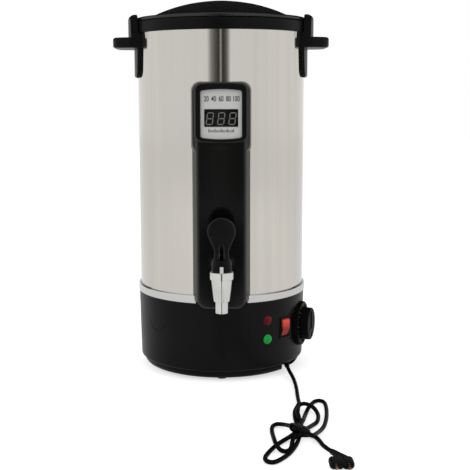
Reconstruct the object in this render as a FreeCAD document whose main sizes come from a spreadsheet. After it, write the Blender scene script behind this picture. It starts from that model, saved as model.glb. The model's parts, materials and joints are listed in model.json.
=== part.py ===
import FreeCAD, Part
import math
import os
import types

import Sketcher
from FreeCAD import Placement, Rotation, Vector

# A ten-litre wax melting urn: a steel tank in a steel shell on a moulded base, with a lift-off lid,
# a lever tap, a dial thermostat, a rocker switch and a temperature display behind a long front cover.
# Millimetres. The vertical axis of the urn is Z, the floor is z = 0 and the tap side is -Y.

SIZES = (
    # base
    ("foot_height", 3.0, "rubber foot, floor to base pan"),
    ("foot_radius", 6.0, "rubber foot"),
    ("foot_inset", 18.0, "centres of the feet inside the pan's edge"),
    ("foot_stem", 2.5, "push-in stem of a foot"),
    ("foot_count", 4, "rubber feet"),
    ("pan_inset", 4.0, "edge of the base pan inside the shell's outside"),
    ("pan_corner", 8.0, "rounded lower edge of the base pan"),
    ("pan_height", 15.0, "base pan, underside to upper edge"),
    ("pan_wall", 1.2, "sheet of the base pan"),
    ("pan_screw_inset", 16.0, "centres of the pan screws inside the pan's edge"),
    ("pan_screw_radius", 2.0, "thread of a pan screw"),
    ("pan_screw_length", 12.0, "pan screw above the base pan"),
    ("screw_head", 1.6, "head of a screw"),
    ("vent_ring", 56.0, "centres of the vent slots from the axis"),
    ("vent_length", 18.0, "vent slot, straight part"),
    ("vent_radius", 1.8, "vent slot, half its width"),
    ("vent_count", 12, "vent slots"),
    ("housing_raise", 10.3, "lower edge of the base housing above the pan's underside"),
    ("housing_height", 89.4, "base housing, lower edge to the shelf that carries the shell"),
    ("housing_draft", 1.9, "taper of the base housing from its shelf to its lower edge"),
    ("shelf_lip", 2.2, "base housing at its shelf, outside the shell"),
    ("housing_corner", 4.0, "rounded lower edge of the housing"),
    ("housing_wall", 3.0, "moulded wall"),
    ("shelf_depth", 6.0, "inner edge of the shelf inside the shell's outside"),
    ("rib_height", 7.0, "centring rib above the shelf"),
    ("boss_radius", 5.0, "screw boss in the housing"),
    ("boss_height", 28.0, "top of a screw boss above the pan's upper edge"),
    ("rib_wall", 2.4, "web between a boss and the wall"),
    # shell, tank and collar
    ("shell_radius", 110.0, "steel shell, outside"),
    ("shell_wall", 0.6, "sheet of the shell"),
    ("shell_height", 352.3, "steel shell"),
    ("trim_lip", 3.0, "bright trim ring outside the shell"),
    ("trim_height", 10.3, "bright trim ring"),
    ("collar_lip", 2.0, "top collar outside the shell"),
    ("collar_skirt", 12.0, "top collar below the shell's upper edge"),
    ("collar_rise", 3.0, "face that carries the lid above the shell's upper edge"),
    ("collar_seat", 1.0, "depth of the recess for the tank's rim"),
    ("tank_gap", 11.0, "tank inside the shell's outside"),
    ("tank_wall", 0.8, "sheet of the tank"),
    ("tank_raise", 9.3, "underside of the tank above the shelf"),
    ("tank_corner", 12.0, "rounded lower edge of the tank"),
    ("rim_width", 6.8, "rolled rim outside the tank"),
    ("fit_gap", 0.2, "clearance between pieces that fit together"),
    ("wrap_raise", 6.0, "lower edge of the insulation above the tank's underside"),
    ("wrap_drop", 9.0, "upper edge of the insulation below the shell's"),
    ("wrap_gap", 32.0, "half the front gap in the insulation"),
    # heating
    ("plate_inset", 17.0, "cast heating plate inside the tank"),
    ("plate_height", 6.0, "cast heating plate"),
    ("element_inset", 22.0, "centre line of the tubular element inside the plate's edge"),
    ("element_radius", 4.0, "tubular element"),
    ("element_drop", 2.0, "centre of the element below the plate"),
    ("element_pin", 1.6, "terminal pin of the element"),
    ("element_leg", 14.0, "leg of the element below its ring"),
    ("element_tail", 8.0, "terminal pin of the element below its leg"),
    ("element_gap", 20.0, "half the angle left open in the element's ring"),
    ("cutout_radius", 8.0, "thermal cut-out"),
    ("cutout_height", 9.0, "thermal cut-out"),
    # handles
    ("handle_drop", 38.0, "lower end of a handle below its grip"),
    ("handle_rise", 8.0, "upper end of a handle above the collar"),
    ("handle_foot", 4.5, "lower bracket outside the shell"),
    ("handle_tab", 10.0, "upper tab outside the lid"),
    ("grip_depth", 18.7, "outer edge of the grip outside the upper tab"),
    ("grip_height", 13.5, "grip, underside to top"),
    ("grip_drop", 5.5, "top of the grip below the collar"),
    ("grip_half", 40.0, "half the grip's length"),
    ("grip_corner", 17.0, "rounded corner of the grip"),
    ("grip_edge", 3.2, "rounded edge of the grip"),
    ("handle_half_top", 36.0, "half the handle's width at its top"),
    ("handle_half_mid", 41.0, "half the handle's width at its grip"),
    ("handle_half_low", 37.0, "half the handle's width at its foot"),
    ("handle_screw_foot", 14.0, "lower handle screw above the handle's foot"),
    ("handle_screw_grip", 7.0, "upper handle screw above the grip's underside"),
    ("handle_screw_radius", 2.0, "thread of a handle screw"),
    # lid
    ("lid_gap", 0.3, "lid above the collar"),
    ("lid_flange", 4.2, "thickness of the lid's flange"),
    ("dome_inset", 16.0, "foot of the lid's dome inside the lid's edge"),
    ("dome_rise", 23.2, "dome above its flange"),
    ("lid_wall", 2.6, "moulded wall of the lid"),
    ("scoop_far", 42.0, "outer side of a finger scoop from the axis"),
    ("scoop_half", 25.0, "half the length of a finger scoop"),
    ("scoop_depth", 17.0, "finger scoop below the top of the lid"),
    ("scoop_core", 50.0, "thickened middle of the lid round the scoops"),
    ("lid_grip_half", 8.0, "half the width of the lid's grip"),
    ("liner_gap", 0.8, "steel liner under the lid inside the tank's wall"),
    ("liner_depth", 8.0, "turned rim of the liner"),
    ("seal_set", 2.0, "centre of the lid seal outside the tank"),
    ("seal_width", 4.0, "lid seal"),
    ("lid_boss_inset", 27.4, "centres of the lid screws inside the liner's edge"),
    ("lid_boss_radius", 4.0, "screw boss in the lid"),
    ("lid_screw_radius", 1.5, "thread of a lid screw"),
    ("lid_screw_length", 9.0, "lid screw above the liner"),
    ("lid_screw_count", 3, "lid screws"),
    # front cover and display
    ("cover_lap", 10.1, "lower end of the front cover below the shelf"),
    ("cover_drop", 74.0, "upper end of the front cover below the shell's upper edge"),
    ("cover_half", 36.5, "half the cover's width at the shell"),
    ("cover_rise", 9.0, "flat face of the cover outside the shell"),
    ("cover_corner", 12.0, "rounded corner of the cover's face"),
    ("cover_bevel", 6.0, "bevel between the cover's face and its foot"),
    ("cover_wall", 2.4, "moulded wall of the cover"),
    ("cover_sink", 7.0, "plane of the cover's foot inside the shell's outside"),
    ("head_lip", 1.0, "cover's head past its long sides"),
    ("head_height", 91.0, "cover's head"),
    ("head_rise", 6.5, "face of the head's shoulder outside the shell"),
    ("cover_screw_foot", 85.4, "lower cover screw above the cover's lower end"),
    ("cover_screw_head", 10.0, "upper cover screw above the head's lower edge"),
    ("cover_screw_radius", 1.5, "thread of a cover screw"),
    ("cover_screw_length", 6.0, "cover screw before the shell's wall"),
    ("inner_head", 2.0, "head of a screw inside the shell"),
    ("bezel_height", 69.9, "display bezel between its corners"),
    ("bezel_drop", 3.7, "upper corners of the display bezel below the cover's end"),
    ("bezel_side", 3.7, "side of the display bezel inside the cover's foot"),
    ("bezel_arch", 2.0, "rise of the arched ends of the bezel and its face plate"),
    ("bezel_rise", 5.0, "front of the bezel before the cover's face"),
    ("label_sill", 4.9, "bezel below the face plate"),
    ("label_drop", 8.4, "bezel above the face plate"),
    ("label_side", 7.55, "bezel beside the face plate"),
    ("bezel_edge", 2.2, "rounded front edge of the bezel"),
    ("label_thick", 0.8, "face plate inside the bezel"),
    ("window_height", 20.9, "display window"),
    ("window_drop", 22.4, "face plate above the display window"),
    ("window_side", 4.85, "face plate beside the display window"),
    ("lens_thick", 1.6, "display window"),
    ("board_thick", 1.6, "circuit board"),
    ("board_border", 1.0, "circuit board past the module"),
    # probe
    ("probe_raise", 53.0, "temperature probe above the tank's underside"),
    ("probe_radius", 3.0, "probe sheath"),
    ("probe_length", 41.0, "temperature probe inside the tank"),
    ("probe_nut", 6.5, "probe nut, half across its flats"),
    ("probe_lead", 1.5, "probe lead"),
    ("probe_lead_ahead", 5.7, "probe lead outside the tank"),
    ("probe_lead_up", 10.4, "end of the probe lead above the display window's lower edge"),
    ("probe_end", 5.0, "potted end of the probe"),
    # tap
    ("tap_stand", 46.0, "tap axis before the cover's face"),
    ("nozzle_drop", 31.1, "mouth of the tap below its shank"),
    ("nozzle_radius", 7.8, "tap nozzle, outside"),
    ("nozzle_bore", 4.6, "tap nozzle, bore"),
    ("cone_drop", 16.6, "lower end of the tap's cone below the shank"),
    ("cone_low_radius", 9.85, "cone at its lower end"),
    ("cone_high_radius", 12.7, "cone at its upper end"),
    ("cone_rise", 10.0, "upper end of the tap's cone above the shank"),
    ("ring_radius", 14.15, "collar of the tap body"),
    ("ring_height", 9.5, "collar of the tap body"),
    ("chamber_radius", 8.9, "valve chamber"),
    ("chamber_drop", 14.0, "floor of the valve chamber below the shank"),
    ("seat_height", 1.4, "raised valve seat"),
    ("seat_radius", 6.0, "raised valve seat"),
    ("shank_raise", 23.0, "shank of the tap above the tank's underside"),
    ("shank_radius", 8.0, "shank of the tap"),
    ("shank_bore", 5.0, "bore of the shank"),
    ("shank_inside", 13.0, "shank inside the tank"),
    ("flange_radius", 12.0, "shoulder on the shank"),
    ("flange_thick", 5.0, "shoulder on the shank"),
    ("washer_radius", 13.0, "silicone washer"),
    ("washer_thick", 2.0, "silicone washer"),
    ("locknut_half", 11.0, "lock nut, half across its flats"),
    ("locknut_thick", 6.0, "lock nut"),
    ("key_half", 2.1, "half the bright key on the tap body"),
    ("key_height", 7.5, "bright key on the tap body"),
    ("bonnet_radius", 12.0, "bonnet skirt"),
    ("bonnet_top_radius", 10.2, "bonnet at its top"),
    ("bonnet_cap", 5.5, "bonnet above its straight skirt"),
    ("skirt_height", 9.5, "straight skirt of the bonnet"),
    ("bonnet_bore", 6.6, "spring room in the bonnet"),
    ("bonnet_roof", 3.5, "top wall of the bonnet"),
    ("spigot_depth", 6.5, "bonnet spigot in the chamber"),
    ("rib_count", 20, "grip ribs on the bonnet"),
    ("rib_groove", 0.75, "groove between two grip ribs"),
    ("stem_radius", 2.5, "valve stem"),
    ("stem_running", 0.06, "running clearance of the stem"),
    ("stem_head_half", 2.1, "half the thickness of the stem's flat head"),
    ("stem_head", 10.0, "top of the stem's flat head above the bonnet"),
    ("shoulder_radius", 5.6, "spring shoulder on the stem"),
    ("seal_cup_radius", 7.6, "valve seal"),
    ("seal_lift", 0.2, "valve seal above its seat at rest"),
    ("seal_height", 3.4, "valve seal"),
    ("spring_wire", 0.5, "radius of the spring's wire"),
    ("spring_radius", 4.6, "spring, centre of its wire"),
    ("spring_turns", 6, "turns of the spring"),
    ("lever_gap", 0.3, "lever above the bonnet"),
    ("lever_height", 50.5, "top of the lever above the bonnet"),
    ("lever_foot_half", 9.4, "half the lever's width at its foot"),
    ("lever_waist_half", 8.2, "half the lever's width at its waist"),
    ("waist_raise", 11.5, "waist of the lever above the bonnet"),
    ("lever_neck_half", 15.7, "half the lever's width where its round paddle starts"),
    ("neck_raise", 28.0, "start of the lever's round paddle above the bonnet"),
    ("lever_front", 7.5, "front of the lever's foot before the tap axis"),
    ("lever_back", 7.5, "back of the lever's foot behind the tap axis"),
    ("paddle_thick", 8.0, "thickness of the lever's paddle"),
    ("lever_slot_half", 2.6, "half the slot in the lever"),
    ("slot_raise", 17.5, "top of the slot in the lever above the bonnet"),
    ("pin_raise", 4.5, "tap pin above the bonnet"),
    ("pin_radius", 1.5, "tap pin"),
    ("pin_play", 0.35, "room round the pin in the stem"),
    ("pin_travel", 2.7, "slide of the pin along the stem's slot"),
    # thermostat
    ("dial_angle", 71.0, "thermostat, degrees round from the tap"),
    ("dial_drop", 42.7, "thermostat below the shelf"),
    ("dial_sink", 3.0, "seat of the dial plate inside the shell's outside"),
    ("dial_seat_wall", 4.0, "wall behind the dial plate"),
    ("dial_radius", 29.5, "dial plate"),
    ("dial_thick", 9.0, "dial plate"),
    ("dial_rim", 5.5, "rim of the dial plate round its dish"),
    ("dial_dish", 1.8, "depth of the dish"),
    ("knob_gap", 2.0, "room between the knob and the dial plate's rim"),
    ("knob_sink", 1.0, "back of the knob behind the front of the dial plate"),
    ("knob_depth", 13.5, "thermostat knob, back to front"),
    ("knob_flute", 1.6, "flute on the knob's edge"),
    ("knob_flutes", 18, "flutes round the knob"),
    ("spindle_radius", 3.0, "thermostat spindle"),
    ("spindle_running", 0.05, "running clearance of the spindle"),
    ("knob_cap", 5.0, "knob before the end of the spindle"),
    ("stat_half", 17.5, "half the thermostat's body"),
    ("stat_depth", 24.8, "thermostat's body, back to front"),
    ("bush_radius", 5.0, "threaded bush of the thermostat"),
    ("stat_screw", 14.0, "thermostat screw from the spindle"),
    ("stat_screw_radius", 1.9, "thread of a thermostat screw"),
    # lamps and switch
    ("lamp_angle", 32.0, "pilot lamps, degrees round from the tap"),
    ("red_raise", 17.5, "red lamp above the thermostat"),
    ("green_drop", 7.5, "green lamp below the thermostat"),
    ("lamp_radius", 6.2, "lens of a lamp"),
    ("lamp_lip", 1.3, "lens of a lamp past its body"),
    ("lamp_proud", 3.2, "front of a lamp before its seat"),
    ("lamp_depth", 24.6, "lamp behind its seat"),
    ("lamp_flat", 0.6, "spot face for a lamp outside the shell"),
    ("switch_angle", 47.4, "rocker switch, degrees round from the tap"),
    ("switch_raise", 3.4, "rocker switch above the thermostat"),
    ("switch_flat", 0.2, "spot face for the switch outside the shell"),
    ("switch_flange", 2.2, "flange of the switch"),
    ("switch_flange_half_wide", 9.2, "half the flange's width"),
    ("switch_flange_half_tall", 14.0, "half the flange's height"),
    ("switch_lip", 1.2, "flange past the switch's body"),
    ("switch_depth", 22.2, "switch behind its seat"),
    ("switch_side", 1.4, "switch body beside and beyond the rocker"),
    ("pivot_sink", 1.0, "pivot of the rocker behind the switch's seat"),
    ("rocker_rise", 5.6, "crown of the rocker from its pivot"),
    ("rocker_tilt", 10.0, "tilt of the rocker either way"),
    ("rocker_play", 0.4, "room round the rocker"),
    ("rocker_pin", 1.4, "pivot pin of the rocker"),
    ("rocker_pin_running", 0.08, "running clearance of the pivot pin"),
    # cord
    ("cord_radius", 2.4, "mains cord"),
    ("cord_hole_in", 9.5, "cord hole from the left side of its notch"),
    ("cord_hole_raise", 4.6, "cord hole above the pan's underside"),
    ("notch_width", 29.0, "cord notch from the pan's side"),
    ("notch_back", 34.0, "back of the cord notch before the axis"),
    ("notch_wall", 6.0, "back wall of the cord block"),
    ("notch_roof", 2.0, "roof of the cord block"),
    ("relief_length", 22.0, "tapered strain relief"),
    ("relief_root", 4.2, "strain relief at its root"),
    ("relief_tip", 3.2, "strain relief at its tip"),
    ("hank_height", 14.6, "top of the tied hank"),
    ("tie_x", 84.0, "middle of the tie to the right of the urn's axis"),
    ("tie_ahead", 304.0, "middle of the tie before the urn's axis"),
    ("tie_width", 7.0, "tie round the hank"),
    ("tie_half", 12.0, "half the length of the tie's upper side"),
    ("tie_thick", 1.4, "strap of the tie"),
    ("plug_x", 123.0, "strain relief of the plug to the right of the urn's axis"),
    ("plug_back", 383.0, "back of the plug before the urn's axis"),
    ("plug_left", 17.6, "plug to the left of its strain relief"),
    ("plug_right", 7.2, "plug to the right of its strain relief"),
    ("plug_notch", 4.0, "groove between the plug's lobes, left of its strain relief"),
    ("plug_height", 9.5, "moulded plug"),
    ("plug_edge", 4.3, "rounded sides of the plug"),
    ("plug_length", 14.0, "plug from its face to its back"),
    ("plug_level", 5.0, "centre line of the cord in the plug"),
    ("plug_lean", 27.0, "slant of the plug's strain relief, degrees"),
    ("plug_relief", 25.0, "strain relief of the plug"),
    ("plug_relief_tip", 3.0, "plug's strain relief at the cord"),
    ("plug_relief_root", 4.5, "plug's strain relief at the plug"),
    ("blade_root", 5.0, "plug pin inside the plug"),
    ("blade_width", 6.3, "plug pin"),
    ("blade_thick", 1.5, "plug pin"),
    ("blade_length", 16.0, "plug pin"),
    ("blade_pitch", 12.7, "between the plug pins"),
    # inner parts of the base
    ("block_length", 34.0, "terminal block"),
    ("block_width", 20.0, "terminal block"),
    ("block_height", 16.0, "terminal block"),
    ("block_y", 36.0, "terminal block behind the axis"),
)

doc = FreeCAD.newDocument("wax_melter")
sheet = doc.addObject("Spreadsheet::Sheet", "Sizes")
for row, (name, value, note) in enumerate(SIZES, 1):
    sheet.set(f"A{row}", name)
    sheet.set(f"B{row}", str(value))
    sheet.set(f"C{row}", note)
    sheet.setAlias(f"B{row}", name)
doc.recompute()


class Size:
    """A length or angle: its value now, and the sheet expression that keeps it live."""

    def __init__(self, value, text):
        self.value = float(value)
        self.text = text

    def __add__(self, other):
        other = as_size(other)
        return Size(self.value + other.value, f"({self.text} + {other.text})")

    def __sub__(self, other):
        other = as_size(other)
        return Size(self.value - other.value, f"({self.text} - {other.text})")

    def __mul__(self, other):
        other = as_size(other)
        return Size(self.value * other.value, f"({self.text} * {other.text})")

    def __truediv__(self, other):
        other = as_size(other)
        return Size(self.value / other.value, f"({self.text} / {other.text})")

    def __neg__(self):
        return Size(-self.value, f"(0 - {self.text})")

    def __radd__(self, other):
        return as_size(other) + self

    def __rsub__(self, other):
        return as_size(other) - self

    def __rmul__(self, other):
        return as_size(other) * self


def as_size(number):
    if isinstance(number, Size):
        return number
    if number < 0:
        return Size(number, f"(0 - {-number})")
    return Size(number, str(number))


def root(number):
    return Size(math.sqrt(number.value), f"sqrt({number.text})")


def sine(angle):
    return Size(math.sin(math.radians(angle.value)), f"sin({angle.text} * 1 deg)")


def cosine(angle):
    return Size(math.cos(math.radians(angle.value)), f"cos({angle.text} * 1 deg)")


size = types.SimpleNamespace(**{name: Size(value, "Sizes." + name) for name, value, note in SIZES})

# Heights, from the floor up.
size.pan_top = size.foot_height + size.pan_height
size.boss_top = size.pan_top + size.boss_height
size.housing_bottom = size.foot_height + size.housing_raise
size.housing_top = size.housing_bottom + size.housing_height
size.shell_top = size.housing_top + size.shell_height
size.collar_bottom = size.shell_top - size.collar_skirt
size.collar_top = size.shell_top + size.collar_rise
size.tank_floor = size.housing_top + size.tank_raise
size.wrap_bottom = size.tank_floor + size.wrap_raise
size.wrap_top = size.shell_top - size.wrap_drop
size.probe_height = size.tank_floor + size.probe_raise
size.grip_top = size.collar_bottom - size.grip_drop
size.grip_bottom = size.grip_top - size.grip_height
size.handle_top = size.collar_top + size.handle_rise
size.handle_bottom = size.grip_bottom - size.handle_drop
size.handle_screw_low = size.handle_bottom + size.handle_screw_foot
size.handle_screw_high = size.grip_bottom + size.handle_screw_grip
size.cover_bottom = size.housing_top - size.cover_lap
size.cover_top = size.shell_top - size.cover_drop
size.head_bottom = size.cover_top - size.head_height
size.cover_screw_low = size.cover_bottom + size.cover_screw_foot
size.cover_screw_high = size.head_bottom + size.cover_screw_head
size.bezel_top = size.cover_top - size.bezel_drop
size.bezel_bottom = size.bezel_top - size.bezel_height
size.label_top = size.bezel_top - size.label_drop
size.label_bottom = size.bezel_bottom + size.label_sill
size.window_top = size.label_top - size.window_drop
size.window_bottom = size.window_top - size.window_height
size.shank_height = size.tank_floor + size.shank_raise
size.nozzle_bottom = size.shank_height - size.nozzle_drop
size.cone_bottom = size.shank_height - size.cone_drop
size.cone_top = size.shank_height + size.cone_rise
size.chamber_floor = size.shank_height - size.chamber_drop
size.ring_top = size.cone_top + size.ring_height
size.bonnet_shoulder = size.ring_top + size.skirt_height
size.bonnet_top = size.bonnet_shoulder + size.bonnet_cap
size.stem_head_top = size.bonnet_top + size.stem_head
size.pin_height = size.bonnet_top + size.pin_raise
size.lever_waist = size.bonnet_top + size.waist_raise
size.lever_slot_top = size.bonnet_top + size.slot_raise
size.lever_neck = size.bonnet_top + size.neck_raise
size.lever_top = size.bonnet_top + size.lever_height
size.dial_height = size.housing_top - size.dial_drop
size.red_height = size.dial_height + size.red_raise
size.green_height = size.dial_height - size.green_drop
size.switch_height = size.dial_height + size.switch_raise
size.cord_hole_height = size.foot_height + size.cord_hole_raise

# Radii and distances from the urn's axis.
size.pan_radius = size.shell_radius - size.pan_inset
size.foot_ring = size.pan_radius - size.foot_inset
size.pan_screw_ring = size.pan_radius - size.pan_screw_inset
size.housing_high_radius = size.shell_radius + size.shelf_lip
size.housing_low_radius = size.housing_high_radius - size.housing_draft
size.shelf_inner = size.shell_radius - size.shelf_depth
size.trim_radius = size.shell_radius + size.trim_lip
size.collar_radius = size.shell_radius + size.collar_lip
size.tank_radius = size.shell_radius - size.tank_gap
size.rim_radius = size.tank_radius + size.rim_width
size.plate_radius = size.tank_radius - size.plate_inset
size.element_ring = size.plate_radius - size.element_inset
size.lid_radius = size.collar_radius
size.dome_base_radius = size.lid_radius - size.dome_inset
size.liner_radius = size.tank_radius - size.tank_wall - size.liner_gap
size.seal_radius = size.tank_radius + size.seal_set
size.lid_boss_ring = size.liner_radius - size.lid_boss_inset
size.handle_foot_radius = size.shell_radius + size.handle_foot
size.handle_tab_radius = size.lid_radius + size.handle_tab
size.handle_reach = size.handle_tab_radius + size.grip_depth
size.cover_face = size.shell_radius + size.cover_rise
size.cover_foot = size.shell_radius - size.cover_sink
size.head_face = size.shell_radius + size.head_rise
size.bezel_face = size.cover_face + size.bezel_rise
size.probe_tip = size.tank_radius - size.probe_length
size.shank_end = size.tank_radius - size.shank_inside
size.tap_reach = size.cover_face + size.tap_stand
size.dial_seat = size.shell_radius - size.dial_sink
size.dial_seat_inner = size.dial_seat - size.dial_seat_wall
size.dial_face = size.dial_seat + size.dial_thick
size.knob_back = size.dial_face - size.knob_sink
size.knob_face = size.knob_back + size.knob_depth
size.spindle_end = size.knob_face - size.knob_cap
size.stat_front = size.dial_seat_inner - size.fit_gap
size.stat_back = size.stat_front - size.stat_depth
size.lamp_seat = size.shell_radius + size.lamp_flat
size.lamp_face = size.lamp_seat + size.lamp_proud
size.lamp_back = size.lamp_seat - size.lamp_depth
size.switch_seat = size.shell_radius + size.switch_flat
size.switch_back = size.switch_seat - size.switch_depth
size.rocker_pivot = size.switch_seat - size.pivot_sink
size.notch_left = size.pan_radius - size.notch_width
size.cord_hole_x = size.notch_left + size.cord_hole_in

# Widths that follow each other on the cover, the dial, the lamps and the switch.
size.cover_face_half = size.cover_half - size.cover_bevel
size.head_half = size.cover_half + size.head_lip
size.bezel_half = size.cover_half - size.bezel_side
size.label_half = size.bezel_half - size.label_side
size.window_half = size.label_half - size.window_side
size.dial_dish_radius = size.dial_radius - size.dial_rim
size.knob_radius = size.dial_dish_radius - size.knob_gap
size.lamp_body_radius = size.lamp_radius - size.lamp_lip
size.switch_body_half_wide = size.switch_flange_half_wide - size.switch_lip
size.switch_body_half_tall = size.switch_flange_half_tall - size.switch_lip
size.rocker_half_wide = size.switch_body_half_wide - size.switch_side
size.rocker_radius = size.switch_body_half_tall - size.switch_side


def at(x, y, rounded=0, bow=0):
    """A corner of a closed outline. rounded is the radius of the corner itself. bow is the radius
    of the edge from here to the next corner: positive curves with its centre on the left."""
    return as_size(x), as_size(y), as_size(rounded), as_size(bow)


def ring(x, y, radius):
    return as_size(x), as_size(y), as_size(radius)


def box(x0, x1, y0, y1, rounded=0):
    return [at(x0, y0, rounded), at(x1, y0, rounded), at(x1, y1, rounded), at(x0, y1, rounded)]


def rule(kind, *ends):
    return Sketcher.Constraint(kind, *ends), None


def place_rule(kind, geometry, position, where):
    """Fixes one coordinate of a point from the sketch's origin."""
    if where.value < 0:
        return Sketcher.Constraint(kind, geometry, position, -1, 1, -where.value), -where
    return Sketcher.Constraint(kind, -1, 1, geometry, position, where.value), where


def radius_rule(geometry, radius):
    return Sketcher.Constraint("Radius", geometry, radius.value), radius


def constrain(sketch, rules):
    """Adds the rules in one go, then ties each dimension to its sheet expression."""
    indices = sketch.addConstraint([made for made, bound in rules])
    for index, (made, bound) in zip(indices, rules):
        if bound is not None and "Sizes." in bound.text:
            sketch.setExpression(f"Constraints[{index}]", bound.text)


def draw_ring(sketch, x, y, radius):
    circle = Part.Circle(Vector(x.value, y.value, 0), Vector(0, 0, 1), radius.value)
    index = sketch.addGeometry(circle, False)
    constrain(sketch, [radius_rule(index, radius), place_rule("DistanceX", index, 3, x),
                       place_rule("DistanceY", index, 3, y)])


def corner_arc(before, corner, after, radius):
    """Start, middle and end of the arc that rounds a corner."""
    back = (before - corner).normalize()
    ahead = (after - corner).normalize()
    half = back.getAngle(ahead) / 2
    start = corner + back * (radius / math.tan(half))
    end = corner + ahead * (radius / math.tan(half))
    inward = (back + ahead).normalize()
    centre = corner + inward * (radius / math.sin(half))
    return start, centre - inward * radius, end


def bowed_edge(start, end, radius):
    """Arc from start to end with its centre on the left when radius is positive."""
    chord = end - start
    left = Vector(-chord.y, chord.x, 0).normalize()
    side = 1 if radius > 0 else -1
    reach = math.sqrt(radius * radius - (chord.Length / 2) ** 2)
    centre = start + chord * 0.5 + left * (side * reach)
    middle = centre - left * (side * abs(radius))
    return turning_left(start, middle, end)


def turning_left(start, middle, end):
    """Arc through three points, run the way a sketch keeps its arcs: anticlockwise."""
    if (middle - start).cross(end - middle).z < 0:
        return Part.Arc(end, middle, start)
    return Part.Arc(start, middle, end)


def draw_outline(sketch, corners):
    points = [Vector(x.value, y.value, 0) for x, y, rounded, bow in corners]
    count = len(points)
    ends = []
    for i, (x, y, rounded, bow) in enumerate(corners):
        if rounded.value:
            ends.append(corner_arc(points[i - 1], points[i], points[(i + 1) % count], rounded.value))
        else:
            ends.append((points[i], None, points[i]))
    edges = []
    for i, (x, y, rounded, bow) in enumerate(corners):
        start, end = ends[i][2], ends[(i + 1) % count][0]
        curve = bowed_edge(start, end, bow.value) if bow.value else Part.LineSegment(start, end)
        edges.append(sketch.addGeometry(curve, False))
    begins = [edge_end(sketch, edge, ends[i][2]) for i, edge in enumerate(edges)]
    stops = [3 - begin for begin in begins]
    rules = []
    for i, (x, y, rounded, bow) in enumerate(corners):
        before, after = edges[i - 1], edges[i]
        if rounded.value:
            arc = sketch.addGeometry(turning_left(*ends[i]), False)
            first = edge_end(sketch, arc, ends[i][0])
            rules.append(rule("Tangent", before, stops[i - 1], arc, first))
            rules.append(rule("Tangent", arc, 3 - first, after, begins[i]))
            rules.append(radius_rule(arc, rounded))
            point = sketch.addGeometry(Part.Point(points[i]), True)
            rules.append(rule("PointOnObject", point, 1, before))
            rules.append(rule("PointOnObject", point, 1, after))
            held = (point, 1)
        else:
            rules.append(rule("Coincident", before, stops[i - 1], after, begins[i]))
            held = (after, begins[i])
        rules.append(place_rule("DistanceX", *held, x))
        rules.append(place_rule("DistanceY", *held, y))
        if bow.value:
            rules.append(radius_rule(after, bow if bow.value > 0 else -bow))
    constrain(sketch, rules)


def edge_end(sketch, index, point):
    """1 or 2: which end of a sketch edge lies on the point."""
    start = sketch.Geometry[index].StartPoint
    return 1 if (start - point).Length < 1e-6 else 2


PIECES = {}


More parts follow.
